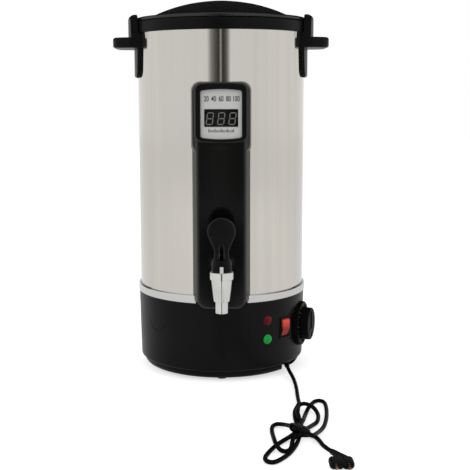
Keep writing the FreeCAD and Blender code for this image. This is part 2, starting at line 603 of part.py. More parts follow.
class Piece:
    """One physical piece, as a PartDesign body whose sketches and features follow the sheet."""

    def __init__(self, label, place=None):
        self.body = doc.addObject("PartDesign::Body", label)
        self.body.Label = label
        self.count = 0
        if place:
            self.body.setExpression("Placement", place)
        PIECES[label] = self.body

    def origin(self, role):
        return [f for f in self.body.Origin.OriginFeatures if f.Role == role][0]

    def name(self, word):
        self.count += 1
        return f"{self.body.Name}_{word}_{self.count}"

    def sketch(self, plane, loops, lift=0, swing=None):
        """A sketch on a plane of the body, lifted along its normal and swung about the Z axis."""
        sketch = self.body.newObject("Sketcher::SketchObject", self.name("sketch"))
        sketch.AttachmentSupport = [(self.origin(plane), "")]
        sketch.MapMode = "FlatFace"
        lift = as_size(lift)
        if swing is None:
            sketch.AttachmentOffset = Placement(Vector(0, 0, lift.value), Rotation())
            sketch.setExpression("AttachmentOffset.Base.z", lift.text)
        else:
            aside, ahead = lift * sine(swing), lift * cosine(swing)
            turned = Rotation(Vector(0, 1, 0), swing.value)
            sketch.AttachmentOffset = Placement(Vector(aside.value, 0, ahead.value), turned)
            sketch.setExpression("AttachmentOffset.Base.x", aside.text)
            sketch.setExpression("AttachmentOffset.Base.z", ahead.text)
            sketch.setExpression("AttachmentOffset.Rotation.Angle", swing.text)
        for loop in loops:
            if isinstance(loop, tuple):
                draw_ring(sketch, *loop)
            else:
                draw_outline(sketch, loop)
        return sketch

    def feature(self, kind, sketch, length, reverse, middle=False):
        made = self.body.newObject("PartDesign::" + kind, self.name(kind.lower()))
        made.Profile = sketch
        length = as_size(length)
        made.Length = length.value
        if "Sizes." in length.text:
            made.setExpression("Length", length.text)
        made.Reversed = reverse
        made.Midplane = middle
        self.body.Tip = made
        return made

    def pad(self, plane, loops, lift, length, swing=None, back=False, middle=False):
        return self.feature("Pad", self.sketch(plane, loops, lift, swing), length, back, middle)

    def cut(self, plane, loops, lift, length, swing=None, back=False, middle=False):
        return self.feature("Pocket", self.sketch(plane, loops, lift, swing), length, not back, middle)

    def revolve(self, kind, loops, angle):
        made = self.body.newObject("PartDesign::" + kind, self.name(kind.lower()))
        sketch = self.sketch("XZ_Plane", loops)
        made.Profile = sketch
        made.ReferenceAxis = (sketch, ["V_Axis"])
        made.Angle = as_size(angle).value
        made.Midplane = as_size(angle).value < 360
        if "Sizes." in as_size(angle).text:
            made.setExpression("Angle", angle.text)
        self.body.Tip = made
        return made

    def turn(self, loops, angle=360):
        return self.revolve("Revolution", loops, angle)

    def turn_cut(self, loops, angle=360):
        return self.revolve("Groove", loops, angle)

    def loft(self, sections, hollow=False):
        """Joins two sketched sections; hollow takes the joined shape away instead."""
        kind = "SubtractiveLoft" if hollow else "AdditiveLoft"
        made = self.body.newObject("PartDesign::" + kind, self.name("loft"))
        made.Profile = sections[0]
        made.Sections = sections[1:]
        made.Ruled = True
        self.body.Tip = made
        return made

    def around(self, features, count):
        made = self.body.newObject("PartDesign::PolarPattern", self.name("pattern"))
        made.Originals = features
        made.Axis = (self.origin("Z_Axis"), [""])
        made.Angle = 360
        made.Occurrences = int(as_size(count).value)
        if "Sizes." in as_size(count).text:
            made.setExpression("Occurrences", count.text)
        self.body.Tip = made
        return made

    def round_edges(self, radius, wanted, kind="Fillet"):
        """Rounds or chamfers the edges whose middle point passes the test."""
        doc.recompute()
        base = self.body.Tip
        names = []
        for i, edge in enumerate(base.Shape.Edges, 1):
            middle = edge.valueAt((edge.FirstParameter + edge.LastParameter) / 2)
            if edge.Length > 0.01 and wanted(middle, edge):
                names.append(f"Edge{i}")
        made = self.body.newObject("PartDesign::" + kind, self.name(kind.lower()))
        made.Base = (base, names)
        prop = "Radius" if kind == "Fillet" else "Size"
        setattr(made, prop, as_size(radius).value)
        if "Sizes." in as_size(radius).text:
            made.setExpression(prop, radius.text)
        self.body.Tip = made
        return made


def facing_out(angle, height):
    """Placement of a piece whose own +Z points out of the urn's wall at an angle and a height."""
    return (f"placement(vector(0; 0; {height.text}); rotation(vector(0; 0; 1); {angle.text})"
            " * rotation(vector(1; 0; 0); 90))")


def on_tap_axis():
    return f"placement(vector(0; {(-size.tap_reach).text}; 0); rotation(vector(0; 0; 1); 0))"


def hexagon(half_flats, x=0, y=0):
    """A hexagon with flats above and below, from half the size across its flats."""
    corner = half_flats / cosine(as_size(30))
    x, y = as_size(x), as_size(y)
    return [at(x + corner, y), at(x + corner / 2, y + half_flats), at(x - corner / 2, y + half_flats),
            at(x - corner, y), at(x - corner / 2, y - half_flats), at(x + corner / 2, y - half_flats)]


# ---------------------------------------------------------------- base


def feet():
    feet = Piece("feet")
    height, spot = size.foot_height, -size.foot_ring
    head_floor = height + size.pan_wall
    parts = [
        feet.pad("XY_Plane", [ring(0, spot, size.foot_radius)], 0, height),
        feet.pad("XY_Plane", [ring(0, spot, size.foot_stem)], height, size.pan_wall),
        feet.pad("XY_Plane", [ring(0, spot, size.foot_stem * 1.6)], head_floor, size.pan_wall * 1.5),
    ]
    feet.around(parts, size.foot_count)


def cord_notch():
    """Plan of the notch in the base pan that the cord block fills, out past the pan's edge."""
    left, back = size.notch_left, -size.notch_back
    reach = size.pan_radius + 20
    return [at(left, -reach), at(reach, -reach), at(reach, back), at(left, back)]


def base_plate():
    pan = Piece("base_plate")
    bottom, wall, corner = size.foot_height, size.pan_wall, size.pan_corner
    pan.turn([[at(0, bottom), at(size.pan_radius, bottom, corner), at(size.pan_radius, size.pan_top),
               at(size.pan_radius - wall, size.pan_top),
               at(size.pan_radius - wall, bottom + wall, corner - wall), at(0, bottom + wall)]])
    half, vent = size.vent_length / 2, size.vent_radius
    slot = pan.cut("XY_Plane", [box(-half - vent, half + vent, -size.vent_ring - vent,
                                    -size.vent_ring + vent, vent * 0.98)], bottom, wall)
    pan.around([slot], size.vent_count)
    stem = pan.cut("XY_Plane", [ring(0, -size.foot_ring, size.foot_stem)], bottom, wall)
    pan.around([stem], size.foot_count)
    spot = size.pan_screw_ring / root(as_size(2))
    screw = pan.cut("XY_Plane", [ring(-spot, spot, size.pan_screw_radius + size.fit_gap)], bottom, wall)
    pan.around([screw], 4)
    pan.cut("XY_Plane", [cord_notch()], 0, size.pan_top - wall)


def base_screws():
    screws = Piece("base_screws")
    spot = size.pan_screw_ring / root(as_size(2))
    head_top = size.foot_height
    parts = [
        screws.pad("XY_Plane", [ring(-spot, spot, size.pan_screw_radius * 1.8)], head_top, size.screw_head,
                   back=True),
        screws.pad("XY_Plane", [ring(-spot, spot, size.pan_screw_radius)], head_top,
                   size.pan_wall + size.pan_screw_length),
    ]
    screws.around(parts, 4)


def base_housing():
    housing = Piece("base_housing")
    low, high, wall = size.housing_bottom, size.housing_top, size.housing_wall
    rib_outer = size.shell_radius - size.shell_wall - size.fit_gap
    housing.turn([[
        at(size.housing_low_radius - wall, low), at(size.housing_low_radius, low, size.housing_corner * 0.7),
        at(size.housing_high_radius, high), at(rib_outer, high), at(rib_outer, high + size.rib_height),
        at(rib_outer - 2, high + size.rib_height), at(rib_outer - 2, high), at(size.shelf_inner, high),
        at(size.shelf_inner, high - wall), at(size.housing_high_radius - wall, high - wall)]])
    screw_bosses(housing)
    dial_seat(housing)
    for height in (size.red_height, size.green_height):
        housing.cut("XZ_Plane", [ring(0, height, size.lamp_radius + size.fit_gap)], size.lamp_seat, 10,
                    size.lamp_angle)
        housing.cut("XZ_Plane", [ring(0, height, size.lamp_body_radius + size.fit_gap)], size.lamp_back,
                    30, size.lamp_angle)
    switch_opening(housing)


def screw_bosses(housing):
    floor = size.foot_height + size.pan_wall
    spot = size.pan_screw_ring / root(as_size(2))
    boss = housing.pad("XY_Plane", [ring(-spot, spot, size.boss_radius)], floor, size.boss_top - floor)
    swing = as_size(-135)
    reach = size.housing_low_radius - size.housing_wall * 0.5 - size.pan_screw_ring
    rib_floor = size.pan_top + 1
    web = housing.pad("XZ_Plane", [box(-size.rib_wall / 2, size.rib_wall / 2, rib_floor, size.boss_top)],
                      size.pan_screw_ring, reach, swing)
    housing.around([boss, web], 4)
    pilot = housing.cut("XY_Plane", [ring(-spot, spot, size.pan_screw_radius)], floor,
                        size.pan_screw_length + 2)
    housing.around([pilot], 4)


def dial_seat(housing):
    """A flat round seat for the dial plate, let into the curved wall and thickened behind."""
    angle, height = size.dial_angle, size.dial_height
    seat, inner = size.dial_seat, size.dial_seat_inner
    housing.pad("XZ_Plane", [ring(0, height, size.dial_radius + size.housing_wall)], inner,
                seat - inner, angle)
    housing.cut("XZ_Plane", [ring(0, height, size.dial_radius + size.fit_gap)], seat, 20, angle)
    housing.cut("XZ_Plane", [ring(0, height, size.bush_radius + size.fit_gap)], inner - 5, 20, angle)
    hole, aside = size.stat_screw_radius + size.fit_gap, size.stat_screw
    holes = [ring(0, height - aside, hole), ring(0, height + aside, hole)]
    housing.cut("XZ_Plane", holes, inner - 5, 20, angle)


def switch_opening(housing):
    height, gap = size.switch_height, size.fit_gap
    wide, tall = size.switch_flange_half_wide + gap, size.switch_flange_half_tall + gap
    housing.cut("XZ_Plane", [box(-wide, wide, height - tall, height + tall, 1.5)], size.switch_seat, 10,
                size.switch_angle)
    wide, tall = size.switch_body_half_wide + gap, size.switch_body_half_tall + gap
    housing.cut("XZ_Plane", [box(-wide, wide, height - tall, height + tall)], size.switch_back, 30,
                size.switch_angle)


# ---------------------------------------------------------------- shell and tank


def trim_ring():
    trim = Piece("trim_ring")
    inner, outer = size.shell_radius + 0.1, size.trim_radius
    low, high = size.housing_top, size.housing_top + size.trim_height
    trim.turn([[at(inner, low), at(outer, low, 0.8), at(outer, high, 1.6), at(inner, high)]])


def outer_shell():
    shell = Piece("outer_shell")
    outer, inner = size.shell_radius, size.shell_radius - size.shell_wall
    low, high = size.housing_top, size.shell_top
    shell.turn([[at(inner, low), at(outer, low), at(outer, high), at(inner, high)]])
    holes = [ring(0, size.shank_height, size.shank_radius + size.fit_gap)]
    for height in (size.cover_screw_low, size.cover_screw_high):
        holes.append(ring(0, height, size.cover_screw_radius + size.fit_gap))
    middle = (size.window_bottom + size.window_top) / 2
    holes.append(box(-10, 10, middle - 8, middle + 8, 3))
    inside = size.shell_radius - 20
    shell.cut("XZ_Plane", holes, inside, 30)
    for swing in (90, -90):
        bores = [ring(0, height, size.handle_screw_radius + size.fit_gap)
                 for height in (size.handle_screw_low, size.handle_screw_high)]
        shell.cut("XZ_Plane", bores, inside, 30, as_size(swing))


def top_collar():
    collar = Piece("top_collar")
    top, outer, seat = size.collar_top, size.collar_radius, size.collar_seat
    wall_in = size.shell_radius - size.shell_wall - size.fit_gap
    lip = size.rim_radius + 0.4
    ledge = size.tank_radius + 1.2
    collar.turn([[
        at(size.shell_radius + 0.05, size.collar_bottom), at(outer, size.collar_bottom, 0.5),
        at(outer, top, 1.5), at(lip, top), at(lip, top - seat), at(ledge, top - seat),
        at(ledge, size.shell_top - 1), at(wall_in - 3.5, size.shell_top - 1),
        at(wall_in - 3.5, size.shell_top - 8), at(wall_in, size.shell_top - 8),
        at(wall_in, size.shell_top), at(size.shell_radius + 0.05, size.shell_top)]])


def inner_tank():
    tank = Piece("inner_tank")
    outer, wall, corner = size.tank_radius, size.tank_wall, size.tank_corner
    floor, rim = size.tank_floor, size.collar_top - size.collar_seat
    tank.turn([[
        at(0, floor), at(outer, floor, corner), at(outer, rim), at(size.rim_radius, rim),
        at(size.rim_radius, rim + wall), at(outer - wall, rim + wall),
        at(outer - wall, floor + wall, corner - wall), at(0, floor + wall)]])
    tank.cut("XZ_Plane", [ring(0, size.shank_height, size.shank_radius + size.fit_gap),
                          ring(0, size.probe_height, size.probe_radius + size.fit_gap)],
             size.tank_radius - 20, 30)


def insulation_wrap():
    wrap = Piece("insulation_wrap")
    inner = size.tank_radius + size.fit_gap
    outer = size.shell_radius - size.shell_wall - 0.5
    wrap.turn([[at(inner, size.wrap_bottom), at(outer, size.wrap_bottom), at(outer, size.wrap_top),
                at(inner, size.wrap_top)]])
    wrap.cut("XZ_Plane", [box(-size.wrap_gap, size.wrap_gap, size.wrap_bottom - 5, size.wrap_top + 5)],
             size.tank_radius - 40, 80)
    for swing in (90, -90):
        pockets = [ring(0, height, size.handle_screw_radius * 3)
                   for height in (size.handle_screw_low, size.handle_screw_high)]
        wrap.cut("XZ_Plane", pockets, size.tank_radius + 6, 10, as_size(swing))


# ---------------------------------------------------------------- heating


def heating_plate():
    plate = Piece("heating_plate")
    top, low = size.tank_floor, size.tank_floor - size.plate_height
    plate.turn([[at(0, low), at(size.plate_radius, low, 1.5), at(size.plate_radius, top), at(0, top)]])
    plate.turn_cut([ring(size.element_ring, low - size.element_drop, size.element_radius + 0.02)])


def heating_element():
    element = Piece("heating_element")
    level = size.tank_floor - size.plate_height - size.element_drop
    element.turn([ring(size.element_ring, level, size.element_radius)], 360 - size.element_gap * 2)
    x = -size.element_ring * cosine(size.element_gap)
    y = size.element_ring * sine(size.element_gap)
    legs = [ring(x, y, size.element_radius), ring(x, -y, size.element_radius)]
    pins = [ring(x, y, size.element_pin), ring(x, -y, size.element_pin)]
    element.pad("XY_Plane", legs, level, size.element_leg, back=True)
    element.pad("XY_Plane", pins, level - size.element_leg, size.element_tail, back=True)


def thermal_cutout():
    cutout = Piece("thermal_cutout")
    top = size.tank_floor - size.plate_height
    radius, low = size.cutout_radius, top - size.cutout_height
    cutout.turn([[at(0, low), at(radius - 1.5, low), at(radius - 1.5, low + 2), at(radius, low + 2, 0.6),
                  at(radius, top), at(0, top)]])
    blades = [box(-5, -4.2, -3.1, 3.1), box(4.2, 5, -3.1, 3.1)]
    cutout.pad("XY_Plane", blades, low, 9, back=True)
    cutout.pad("XY_Plane", [box(-2, 2, radius - 1, radius + 9, 1.5)], top, 1, back=True)


# ---------------------------------------------------------------- handles


def handle(label, turned):
    """A moulded side handle: a saddle on the shell, a tab beside the lid and a ledge to lift by."""
    grip = Piece(label, f"placement(vector(0; 0; 0); rotation(vector(0; 0; 1); {turned}))")
    low, high = size.handle_bottom, size.handle_top
    shell = size.shell_radius + 0.1
    beside_lid = size.lid_radius + 0.9
    step = size.collar_bottom - 0.3
    half, reach = size.grip_half, size.handle_reach
    grip.pad("XY_Plane", [[
        at(shell - 14, -half), at(shell + 8, -half, 12), at(reach, -half * 0.82, size.grip_corner),
        at(reach, half * 0.82, size.grip_corner), at(shell + 8, half, 12), at(shell - 14, half)]],
        size.grip_bottom, size.grip_top - size.grip_bottom)
    level = (size.grip_bottom.value, size.grip_top.value)
    grip.round_edges(size.grip_edge, lambda middle, edge: middle.x > shell.value - 13 and (
        abs(middle.z - level[0]) < 0.01 or abs(middle.z - level[1]) < 0.01))
    foot = size.handle_foot_radius
    grip.turn([[
        at(shell, low), at(foot, low, 3), at(foot, size.grip_bottom + 4),
        at(size.handle_tab_radius, size.grip_bottom + 8), at(size.handle_tab_radius, high, 6),
        at(beside_lid, high, 1.5), at(beside_lid, step), at(shell, step)]], 50)
    top_half, mid_half, low_half = size.handle_half_top, size.handle_half_mid, size.handle_half_low
    keep = [at(-low_half, low - 1, 13), at(low_half, low - 1, 13), at(mid_half, size.grip_bottom, 30),
            at(top_half, high + 0.5, 5), at(-top_half, high + 0.5, 5), at(-mid_half, size.grip_bottom, 30)]
    around = half * 2
    grip.cut("YZ_Plane", [box(-around, around, low - 20, high + 20), keep], size.shell_radius - 30, 80)
    core = size.shell_radius - 50
    grip.turn_cut([[at(core, low - 5), at(shell, low - 5), at(shell, step), at(core, step)]])
    radius, inside = size.handle_screw_radius, size.shell_radius - 5
    grip.cut("YZ_Plane", [ring(0, size.handle_screw_high, radius)], inside, size.handle_tab_radius - inside)
    grip.cut("YZ_Plane", [ring(0, size.handle_screw_low, radius)], inside, 8)


def handle_screws():
    """Pan-head screws from inside the shell, two to a handle."""
    screws = Piece("handle_screws")
    inside = size.shell_radius - size.shell_wall - 0.05
    radius = size.handle_screw_radius
    for height, length in ((size.handle_screw_low, 3.4), (size.handle_screw_high, 11)):
        for swing in (90, -90):
            turned = as_size(swing)
            screws.pad("XZ_Plane", [ring(0, height, radius)], inside - 1, as_size(length) + 1, turned)
            screws.pad("XZ_Plane", [ring(0, height, radius * 1.9)], inside - 2.4, 2.2, turned)


# ---------------------------------------------------------------- lid


def dome_height(radius, dome, apex):
    """Height of a dome of a given spherical radius at a distance from its axis."""
    return apex - dome + root(dome * dome - radius * radius)


def lid_levels():
    bottom = size.collar_top + size.lid_gap
    flange = bottom + size.lid_flange
    apex = flange + size.dome_rise
    foot, rise = size.dome_base_radius, size.dome_rise
    dome = (foot * foot + rise * rise) / (rise * 2)
    return bottom, flange, apex, dome


def lid_cover():
    """A domed moulding with two finger scoops in its top and a hollow grip between them."""
    lid = Piece("lid_cover")
    bottom, flange, apex, dome = lid_levels()
    wall = size.lid_wall
    under = dome - wall
    mouth = size.dome_base_radius - wall
    floor = apex - size.scoop_depth
    core = size.scoop_core
    seal_in, seal_out = size.seal_radius - size.seal_width / 2, size.seal_radius + size.seal_width / 2
    lid.turn([[
        at(0, apex, 0, -dome), at(size.dome_base_radius, flange), at(size.lid_radius, flange, 1.9),
        at(size.lid_radius, bottom, 0.8), at(seal_out, bottom), at(seal_out, bottom + 2),
        at(seal_in, bottom + 2), at(seal_in, bottom), at(mouth, bottom),
        at(mouth, dome_height(mouth, under, apex - wall), 0, under),
        at(core, dome_height(core, under, apex - wall)), at(core, floor - wall), at(0, floor - wall)]])
    near, far, half = size.lid_grip_half, size.scoop_far, size.scoop_half
    right = [at(near, -half, 6), at(far, -half, 16), at(far, half, 16), at(near, half, 6)]
    left = [at(-x, y, rounded) for x, y, rounded, bow in reversed(right)]
    lid.cut("XY_Plane", [right, left], floor, 30)
    lid.round_edges(2, lambda middle, edge: middle.z > floor.value + 6 and middle.z < apex.value - 0.01
                    and abs(middle.x) < far.value + 0.5 and abs(middle.y) < half.value + 0.5)
    inside = near - wall
    hollow_top = dome_height(core, under, apex - wall)
    lid.cut("XY_Plane", [box(-inside, inside, -core + wall, core - wall)], floor - wall,
            hollow_top - floor + wall)
    ring_spot = size.lid_boss_ring
    boss = lid.pad("XY_Plane", [ring(0, ring_spot, size.lid_boss_radius)], bottom,
                   dome_height(ring_spot, under, apex - wall) - bottom + wall / 2)
    lid.around([boss], size.lid_screw_count)
    pilot = lid.cut("XY_Plane", [ring(0, ring_spot, size.lid_screw_radius)], bottom, size.lid_screw_length)
    lid.around([pilot], size.lid_screw_count)


def lid_liner():
    """A turned steel disc under the lid, whose rim hangs in the mouth of the tank."""
    liner = Piece("lid_liner")
    top, wall, outer = lid_levels()[0], size.tank_wall, size.liner_radius
    low = top - size.liner_depth
    liner.turn([[at(0, top - wall), at(outer - wall, top - wall, 1.2), at(outer - wall, low), at(outer, low),
                 at(outer, top, 2), at(0, top)]])
    hole = liner.cut("XY_Plane", [ring(0, size.lid_boss_ring, size.lid_screw_radius + size.fit_gap)],
                     top, wall, back=True)
    liner.around([hole], size.lid_screw_count)


def lid_seal():
    seal = Piece("lid_seal")
    bottom = lid_levels()[0]
    inner, outer = size.seal_radius - size.seal_width / 2, size.seal_radius + size.seal_width / 2
    seal.turn([box(inner, outer, bottom - 0.2, bottom + 2)])


def lid_screws():
    screws = Piece("lid_screws")
    under = lid_levels()[0] - size.tank_wall
    spot = size.lid_boss_ring
    parts = [
        screws.pad("XY_Plane", [ring(0, spot, size.lid_screw_radius * 2.1)], under, size.screw_head,
                   back=True),
        screws.pad("XY_Plane", [ring(0, spot, size.lid_screw_radius)], under, size.lid_screw_length),
    ]
    screws.around(parts, size.lid_screw_count)


# ---------------------------------------------------------------- front cover and display


def cover_section(piece, half, low, high, plane, corner):
    return piece.sketch("XZ_Plane", [box(-half, half, low, high, corner)], plane)


def window_hole():
    """The opening that the display window fills, in the cover and in the face plate."""
    half = size.window_half + size.fit_gap
    return box(-half, half, size.window_bottom - size.fit_gap, size.window_top + size.fit_gap)


def front_panel():
    """The long front cover: a bevelled channel with a wider head, open at the back on the shell."""
    cover = Piece("front_panel")
    wall, bevel = size.cover_wall, size.cover_bevel
    low, high = size.cover_bottom, size.cover_top
    foot, face, corner = size.cover_foot, size.cover_face, size.cover_corner
    cover.loft([cover_section(cover, size.cover_half, low, high, foot, corner + bevel),
                cover_section(cover, size.cover_face_half, low + bevel, high - bevel, face, corner)])
    head = size.head_half
    cover.loft([cover_section(cover, head, size.head_bottom, high, foot, corner),
                cover_section(cover, head - 2, size.head_bottom + 3, high - 2, size.head_face, corner)])
    deep = foot - 5
    half, inset = size.cover_half - wall + 2, bevel + wall
    cover.loft([
        cover_section(cover, half, low + wall - 2, high - wall + 2, deep, corner + bevel),
        cover_section(cover, size.cover_face_half - wall, low + inset, high - inset, face - wall,
                      corner - wall)], hollow=True)
    for height in (size.cover_screw_low, size.cover_screw_high):
        cover.pad("XZ_Plane", [ring(0, height, size.cover_screw_radius * 2.6)], foot, face - foot - wall / 2)
    base_clear = size.trim_radius + size.fit_gap
    trim_top = size.housing_top + size.trim_height + size.fit_gap
    shell = size.shell_radius + 0.1
    cover.turn_cut([[
        at(0, low - 9), at(base_clear, low - 9), at(base_clear, trim_top), at(shell, trim_top),
        at(shell, high + 9), at(0, high + 9)]])
    shank_hole = ring(0, size.shank_height, size.shank_radius + size.fit_gap)
    cover.cut("XZ_Plane", [shank_hole, window_hole()], foot, 30)
    pilots = [ring(0, height, size.cover_screw_radius)
              for height in (size.cover_screw_low, size.cover_screw_high)]
    cover.cut("XZ_Plane", pilots, foot, face - foot - wall)


def cover_screws():
    screws = Piece("cover_screws")
    inside = size.shell_radius - size.shell_wall - 0.05
    radius = size.cover_screw_radius
    for height in (size.cover_screw_low, size.cover_screw_high):
        screws.pad("XZ_Plane", [ring(0, height, radius)], inside, size.cover_screw_length)
        screws.pad("XZ_Plane", [ring(0, height, radius * 2)], inside - size.inner_head, size.inner_head)


def arched(half, low, high, rise):
    """A rounded rectangle whose top and bottom edges bow outwards."""
    bow = (half * half + rise * rise) / (rise * 2)
    return [at(-half, low, 0, bow), at(half, low), at(half, high, 0, bow), at(-half, high)]


def upright_at(half):
    """Test for the four corner edges of an arched plate that run along its depth."""
    return lambda middle, edge: (abs(abs(middle.x) - half.value) < 0.01
                                 and abs(edge.tangentAt(edge.FirstParameter).y) > 0.9)


def display_bezel():
    """A glossy frame with arched ends that stands proud of the cover."""
    bezel = Piece("display_bezel")
    back, face, gap = size.cover_face, size.bezel_face, size.fit_gap
    arch = size.bezel_arch
    outline = arched(size.bezel_half, size.bezel_bottom, size.bezel_top, arch)
    bezel.pad("XZ_Plane", [outline], back, face - back)
    bezel.round_edges(9, upright_at(size.bezel_half))
    bezel.round_edges(size.bezel_edge, lambda middle, edge: abs(middle.y + face.value) < 0.01)
    inner = size.label_half + gap
    bezel.cut("XZ_Plane", [arched(inner, size.label_bottom - gap, size.label_top + gap, arch)], back, 10)
    bezel.round_edges(3.2, upright_at(inner))


def display_label():
    label = Piece("display_label")
    label.pad("XZ_Plane", [arched(size.label_half, size.label_bottom, size.label_top, size.bezel_arch)],
              size.cover_face, size.label_thick)
    label.round_edges(3, upright_at(size.label_half))
    label.cut("XZ_Plane", [window_hole()], size.cover_face, 5)


def display_window():
    window = Piece("display_window")
    half = size.window_half
    window.pad("XZ_Plane", [box(-half, half, size.window_bottom, size.window_top, 0.8)], size.cover_face,
               size.lens_thick)


def display_module():
    """The three-digit display: a potted block in the cover's opening, on its circuit board."""
    module = Piece("display_module")
    half, low, high = size.window_half, size.window_bottom, size.window_top
    module.pad("XZ_Plane", [box(-half, half, low, high)], size.cover_face, size.cover_wall, back=True)
    border = size.board_border
    module.pad("XZ_Plane", [box(-half - border, half + border, low - border, high + border)],
               size.cover_face - size.cover_wall, size.board_thick, back=True)


def temperature_probe():
    """A steel sheath through the tank wall, with its hexagon and the potted end outside."""
    probe = Piece("temperature_probe")
    wall = size.tank_radius + size.fit_gap
    height = size.probe_height
    probe.pad("XZ_Plane", [ring(0, height, size.probe_radius)], size.probe_tip, wall - size.probe_tip)
    probe.pad("XZ_Plane", [hexagon(size.probe_nut, 0, height)], wall, 3.5)
    end = size.probe_end / 2
    probe.pad("XZ_Plane", [box(-end, end, height - end, height + end)], wall + 3.5, 4.5)


# ---------------------------------------------------------------- tap


def tap_body():
    """One bright casting: the nozzle and cone, the collar above them and the shank to the tank."""
    tap = Piece("tap_body", on_tap_axis())
    mouth, top = size.nozzle_bottom, size.ring_top
    chamber, floor = size.chamber_radius, size.chamber_floor
    tap.turn([[
        at(0, mouth), at(size.nozzle_radius, mouth, 0.6), at(size.nozzle_radius, size.cone_bottom),
        at(size.cone_low_radius, size.cone_bottom, 0.5), at(size.cone_high_radius, size.cone_top),
        at(size.ring_radius, size.cone_top, 0.8), at(size.ring_radius, top, 0.8), at(0, top)]])
    reach = size.tap_reach
    level = size.shank_height
    tap.pad("XZ_Plane", [ring(0, level, size.shank_radius)], 0, reach - size.shank_end, back=True)
    tap.pad("XZ_Plane", [ring(0, level, size.flange_radius)], size.cover_face + size.flange_thick - reach,
            size.flange_thick, back=True)
    key = size.key_half
    tap.pad("XY_Plane", [box(-key, key, -size.bonnet_radius, -size.bonnet_bore - 2.4)], top, size.key_height)
    tap.turn_cut([[
        at(0, mouth - 1), at(size.nozzle_bore, mouth - 1), at(size.nozzle_bore, floor + size.seat_height),
        at(size.seat_radius, floor + size.seat_height), at(size.seat_radius, floor), at(chamber, floor),
        at(chamber, top + 1), at(0, top + 1)]])
    tap.cut("XZ_Plane", [ring(0, level, size.shank_bore)], -size.nozzle_bore - 1.5, reach - size.shank_end,
            back=True)


def tap_washers():
    """Silicone washers either side of the tank wall, with the shank through both."""
    washers = Piece("tap_washers")
    level, inner = size.shank_height, size.shank_radius + 0.1
    flat = root(size.tank_radius * size.tank_radius - size.washer_radius * size.washer_radius)
    loops = [ring(0, level, size.washer_radius), ring(0, level, inner)]
    washers.pad("XZ_Plane", loops, size.tank_radius, size.washer_thick)
    washers.pad("XZ_Plane", loops, flat - size.tank_wall, size.washer_thick, back=True)


def tap_spacer():
    spacer = Piece("tap_spacer")
    start = size.tank_radius + size.washer_thick
    level = size.shank_height
    loops = [ring(0, level, size.flange_radius), ring(0, level, size.shank_radius + 0.1)]
    spacer.pad("XZ_Plane", loops, start, size.shell_radius - size.shell_wall - 0.8 - start)


def tap_locknut():
    nut = Piece("tap_locknut")
    flat = root(size.tank_radius * size.tank_radius - size.washer_radius * size.washer_radius)
    start = flat - size.tank_wall - size.washer_thick
    nut.pad("XZ_Plane", [hexagon(size.locknut_half, 0, size.shank_height),
                         ring(0, size.shank_height, size.shank_radius + 0.05)], start, size.locknut_thick,
            back=True)


def tap_bonnet():
    """The ribbed bonnet that screws into the tap body and guides the stem."""
    bonnet = Piece("tap_bonnet", on_tap_axis())
    foot, top, radius = size.ring_top, size.bonnet_top, size.bonnet_radius
    spigot, deep = size.chamber_radius - 0.05, foot - size.spigot_depth
    bonnet.turn([[
        at(size.bonnet_bore, deep), at(spigot, deep), at(spigot, foot), at(radius, foot),
        at(radius, size.bonnet_shoulder, 1.2), at(size.bonnet_top_radius, top, 0.8),
        at(size.stem_radius + size.stem_running, top),
        at(size.stem_radius + size.stem_running, top - size.bonnet_roof),
        at(size.bonnet_bore, top - size.bonnet_roof)]])
    groove = bonnet.cut("XY_Plane", [ring(0, radius + size.rib_groove * 0.4, size.rib_groove)], foot + 1.2,
                        size.bonnet_shoulder - foot - 2.4)
    bonnet.around([groove], size.rib_count)
    key = size.key_half + 0.25
    bonnet.cut("XY_Plane", [box(-key, key, -radius - 2, -size.bonnet_bore - 2.1)], foot,
               size.key_height + 0.4)


def tap_stem():
    stem = Piece("tap_stem", on_tap_axis())
    seal_top = size.chamber_floor + size.seat_height + size.seal_lift + size.seal_height
    head_bottom, radius = size.bonnet_top + 0.3, size.stem_radius
    stem.turn([[
        at(0, seal_top - 2.4), at(radius, seal_top - 2.4), at(radius, seal_top),
        at(size.shoulder_radius, seal_top), at(size.shoulder_radius, seal_top + 2, 0.4),
        at(radius, seal_top + 2), at(radius, head_bottom + 0.5), at(0, head_bottom + 0.5)]])
    level, play = size.pin_height, size.pin_radius + size.pin_play
    front, back = -size.pin_travel - size.pin_radius - size.pin_play - 2, play + 2.2
    half = size.stem_head_half
    head = [at(front, head_bottom), at(back, head_bottom), at(back, size.stem_head_top, 2.5),
            at(front, size.stem_head_top, 2.5)]
    stem.pad("YZ_Plane", [head], 0, half * 2, middle=True)
    stem.cut("YZ_Plane", [box(front + 2, play, level - play, level + play, play * 0.98)], 0, half * 4,
             middle=True)


def tap_seal():
    seal = Piece("tap_seal", on_tap_axis())
    low = size.chamber_floor + size.seat_height + size.seal_lift
    high = low + size.seal_height
    radius = size.seal_cup_radius
    seal.turn([[at(0, low), at(radius - 1.2, low, 0.8), at(radius, high, 0.5), at(size.stem_radius, high),
                at(size.stem_radius, high - 2.4), at(0, high - 2.4)]])


def tap_spring():
    """The closing spring, from the stem's shoulder up to the bonnet's roof."""
    low = (size.chamber_floor + size.seat_height + size.seal_lift + size.seal_height).value + 2
    high = (size.bonnet_top - size.bonnet_roof).value
    wire, radius = size.spring_wire.value, size.spring_radius.value
    climb = high - low - 2 * wire
    path = Part.makeHelix(climb / size.spring_turns.value, climb, radius)
    corners = [math.radians(60 * step) for step in range(7)]
    start = Part.makePolygon([Vector(radius + wire * math.cos(turned), 0, wire * math.sin(turned))
                              for turned in corners])
    coil = Part.Wire(path.Edges).makePipeShell([start], True, True)
    spring = doc.addObject("Part::Feature", "tap_spring")
    spring.Shape = coil
    spring.Placement = Placement(Vector(0, -size.tap_reach.value, low + wire), Rotation())
    PIECES["tap_spring"] = spring


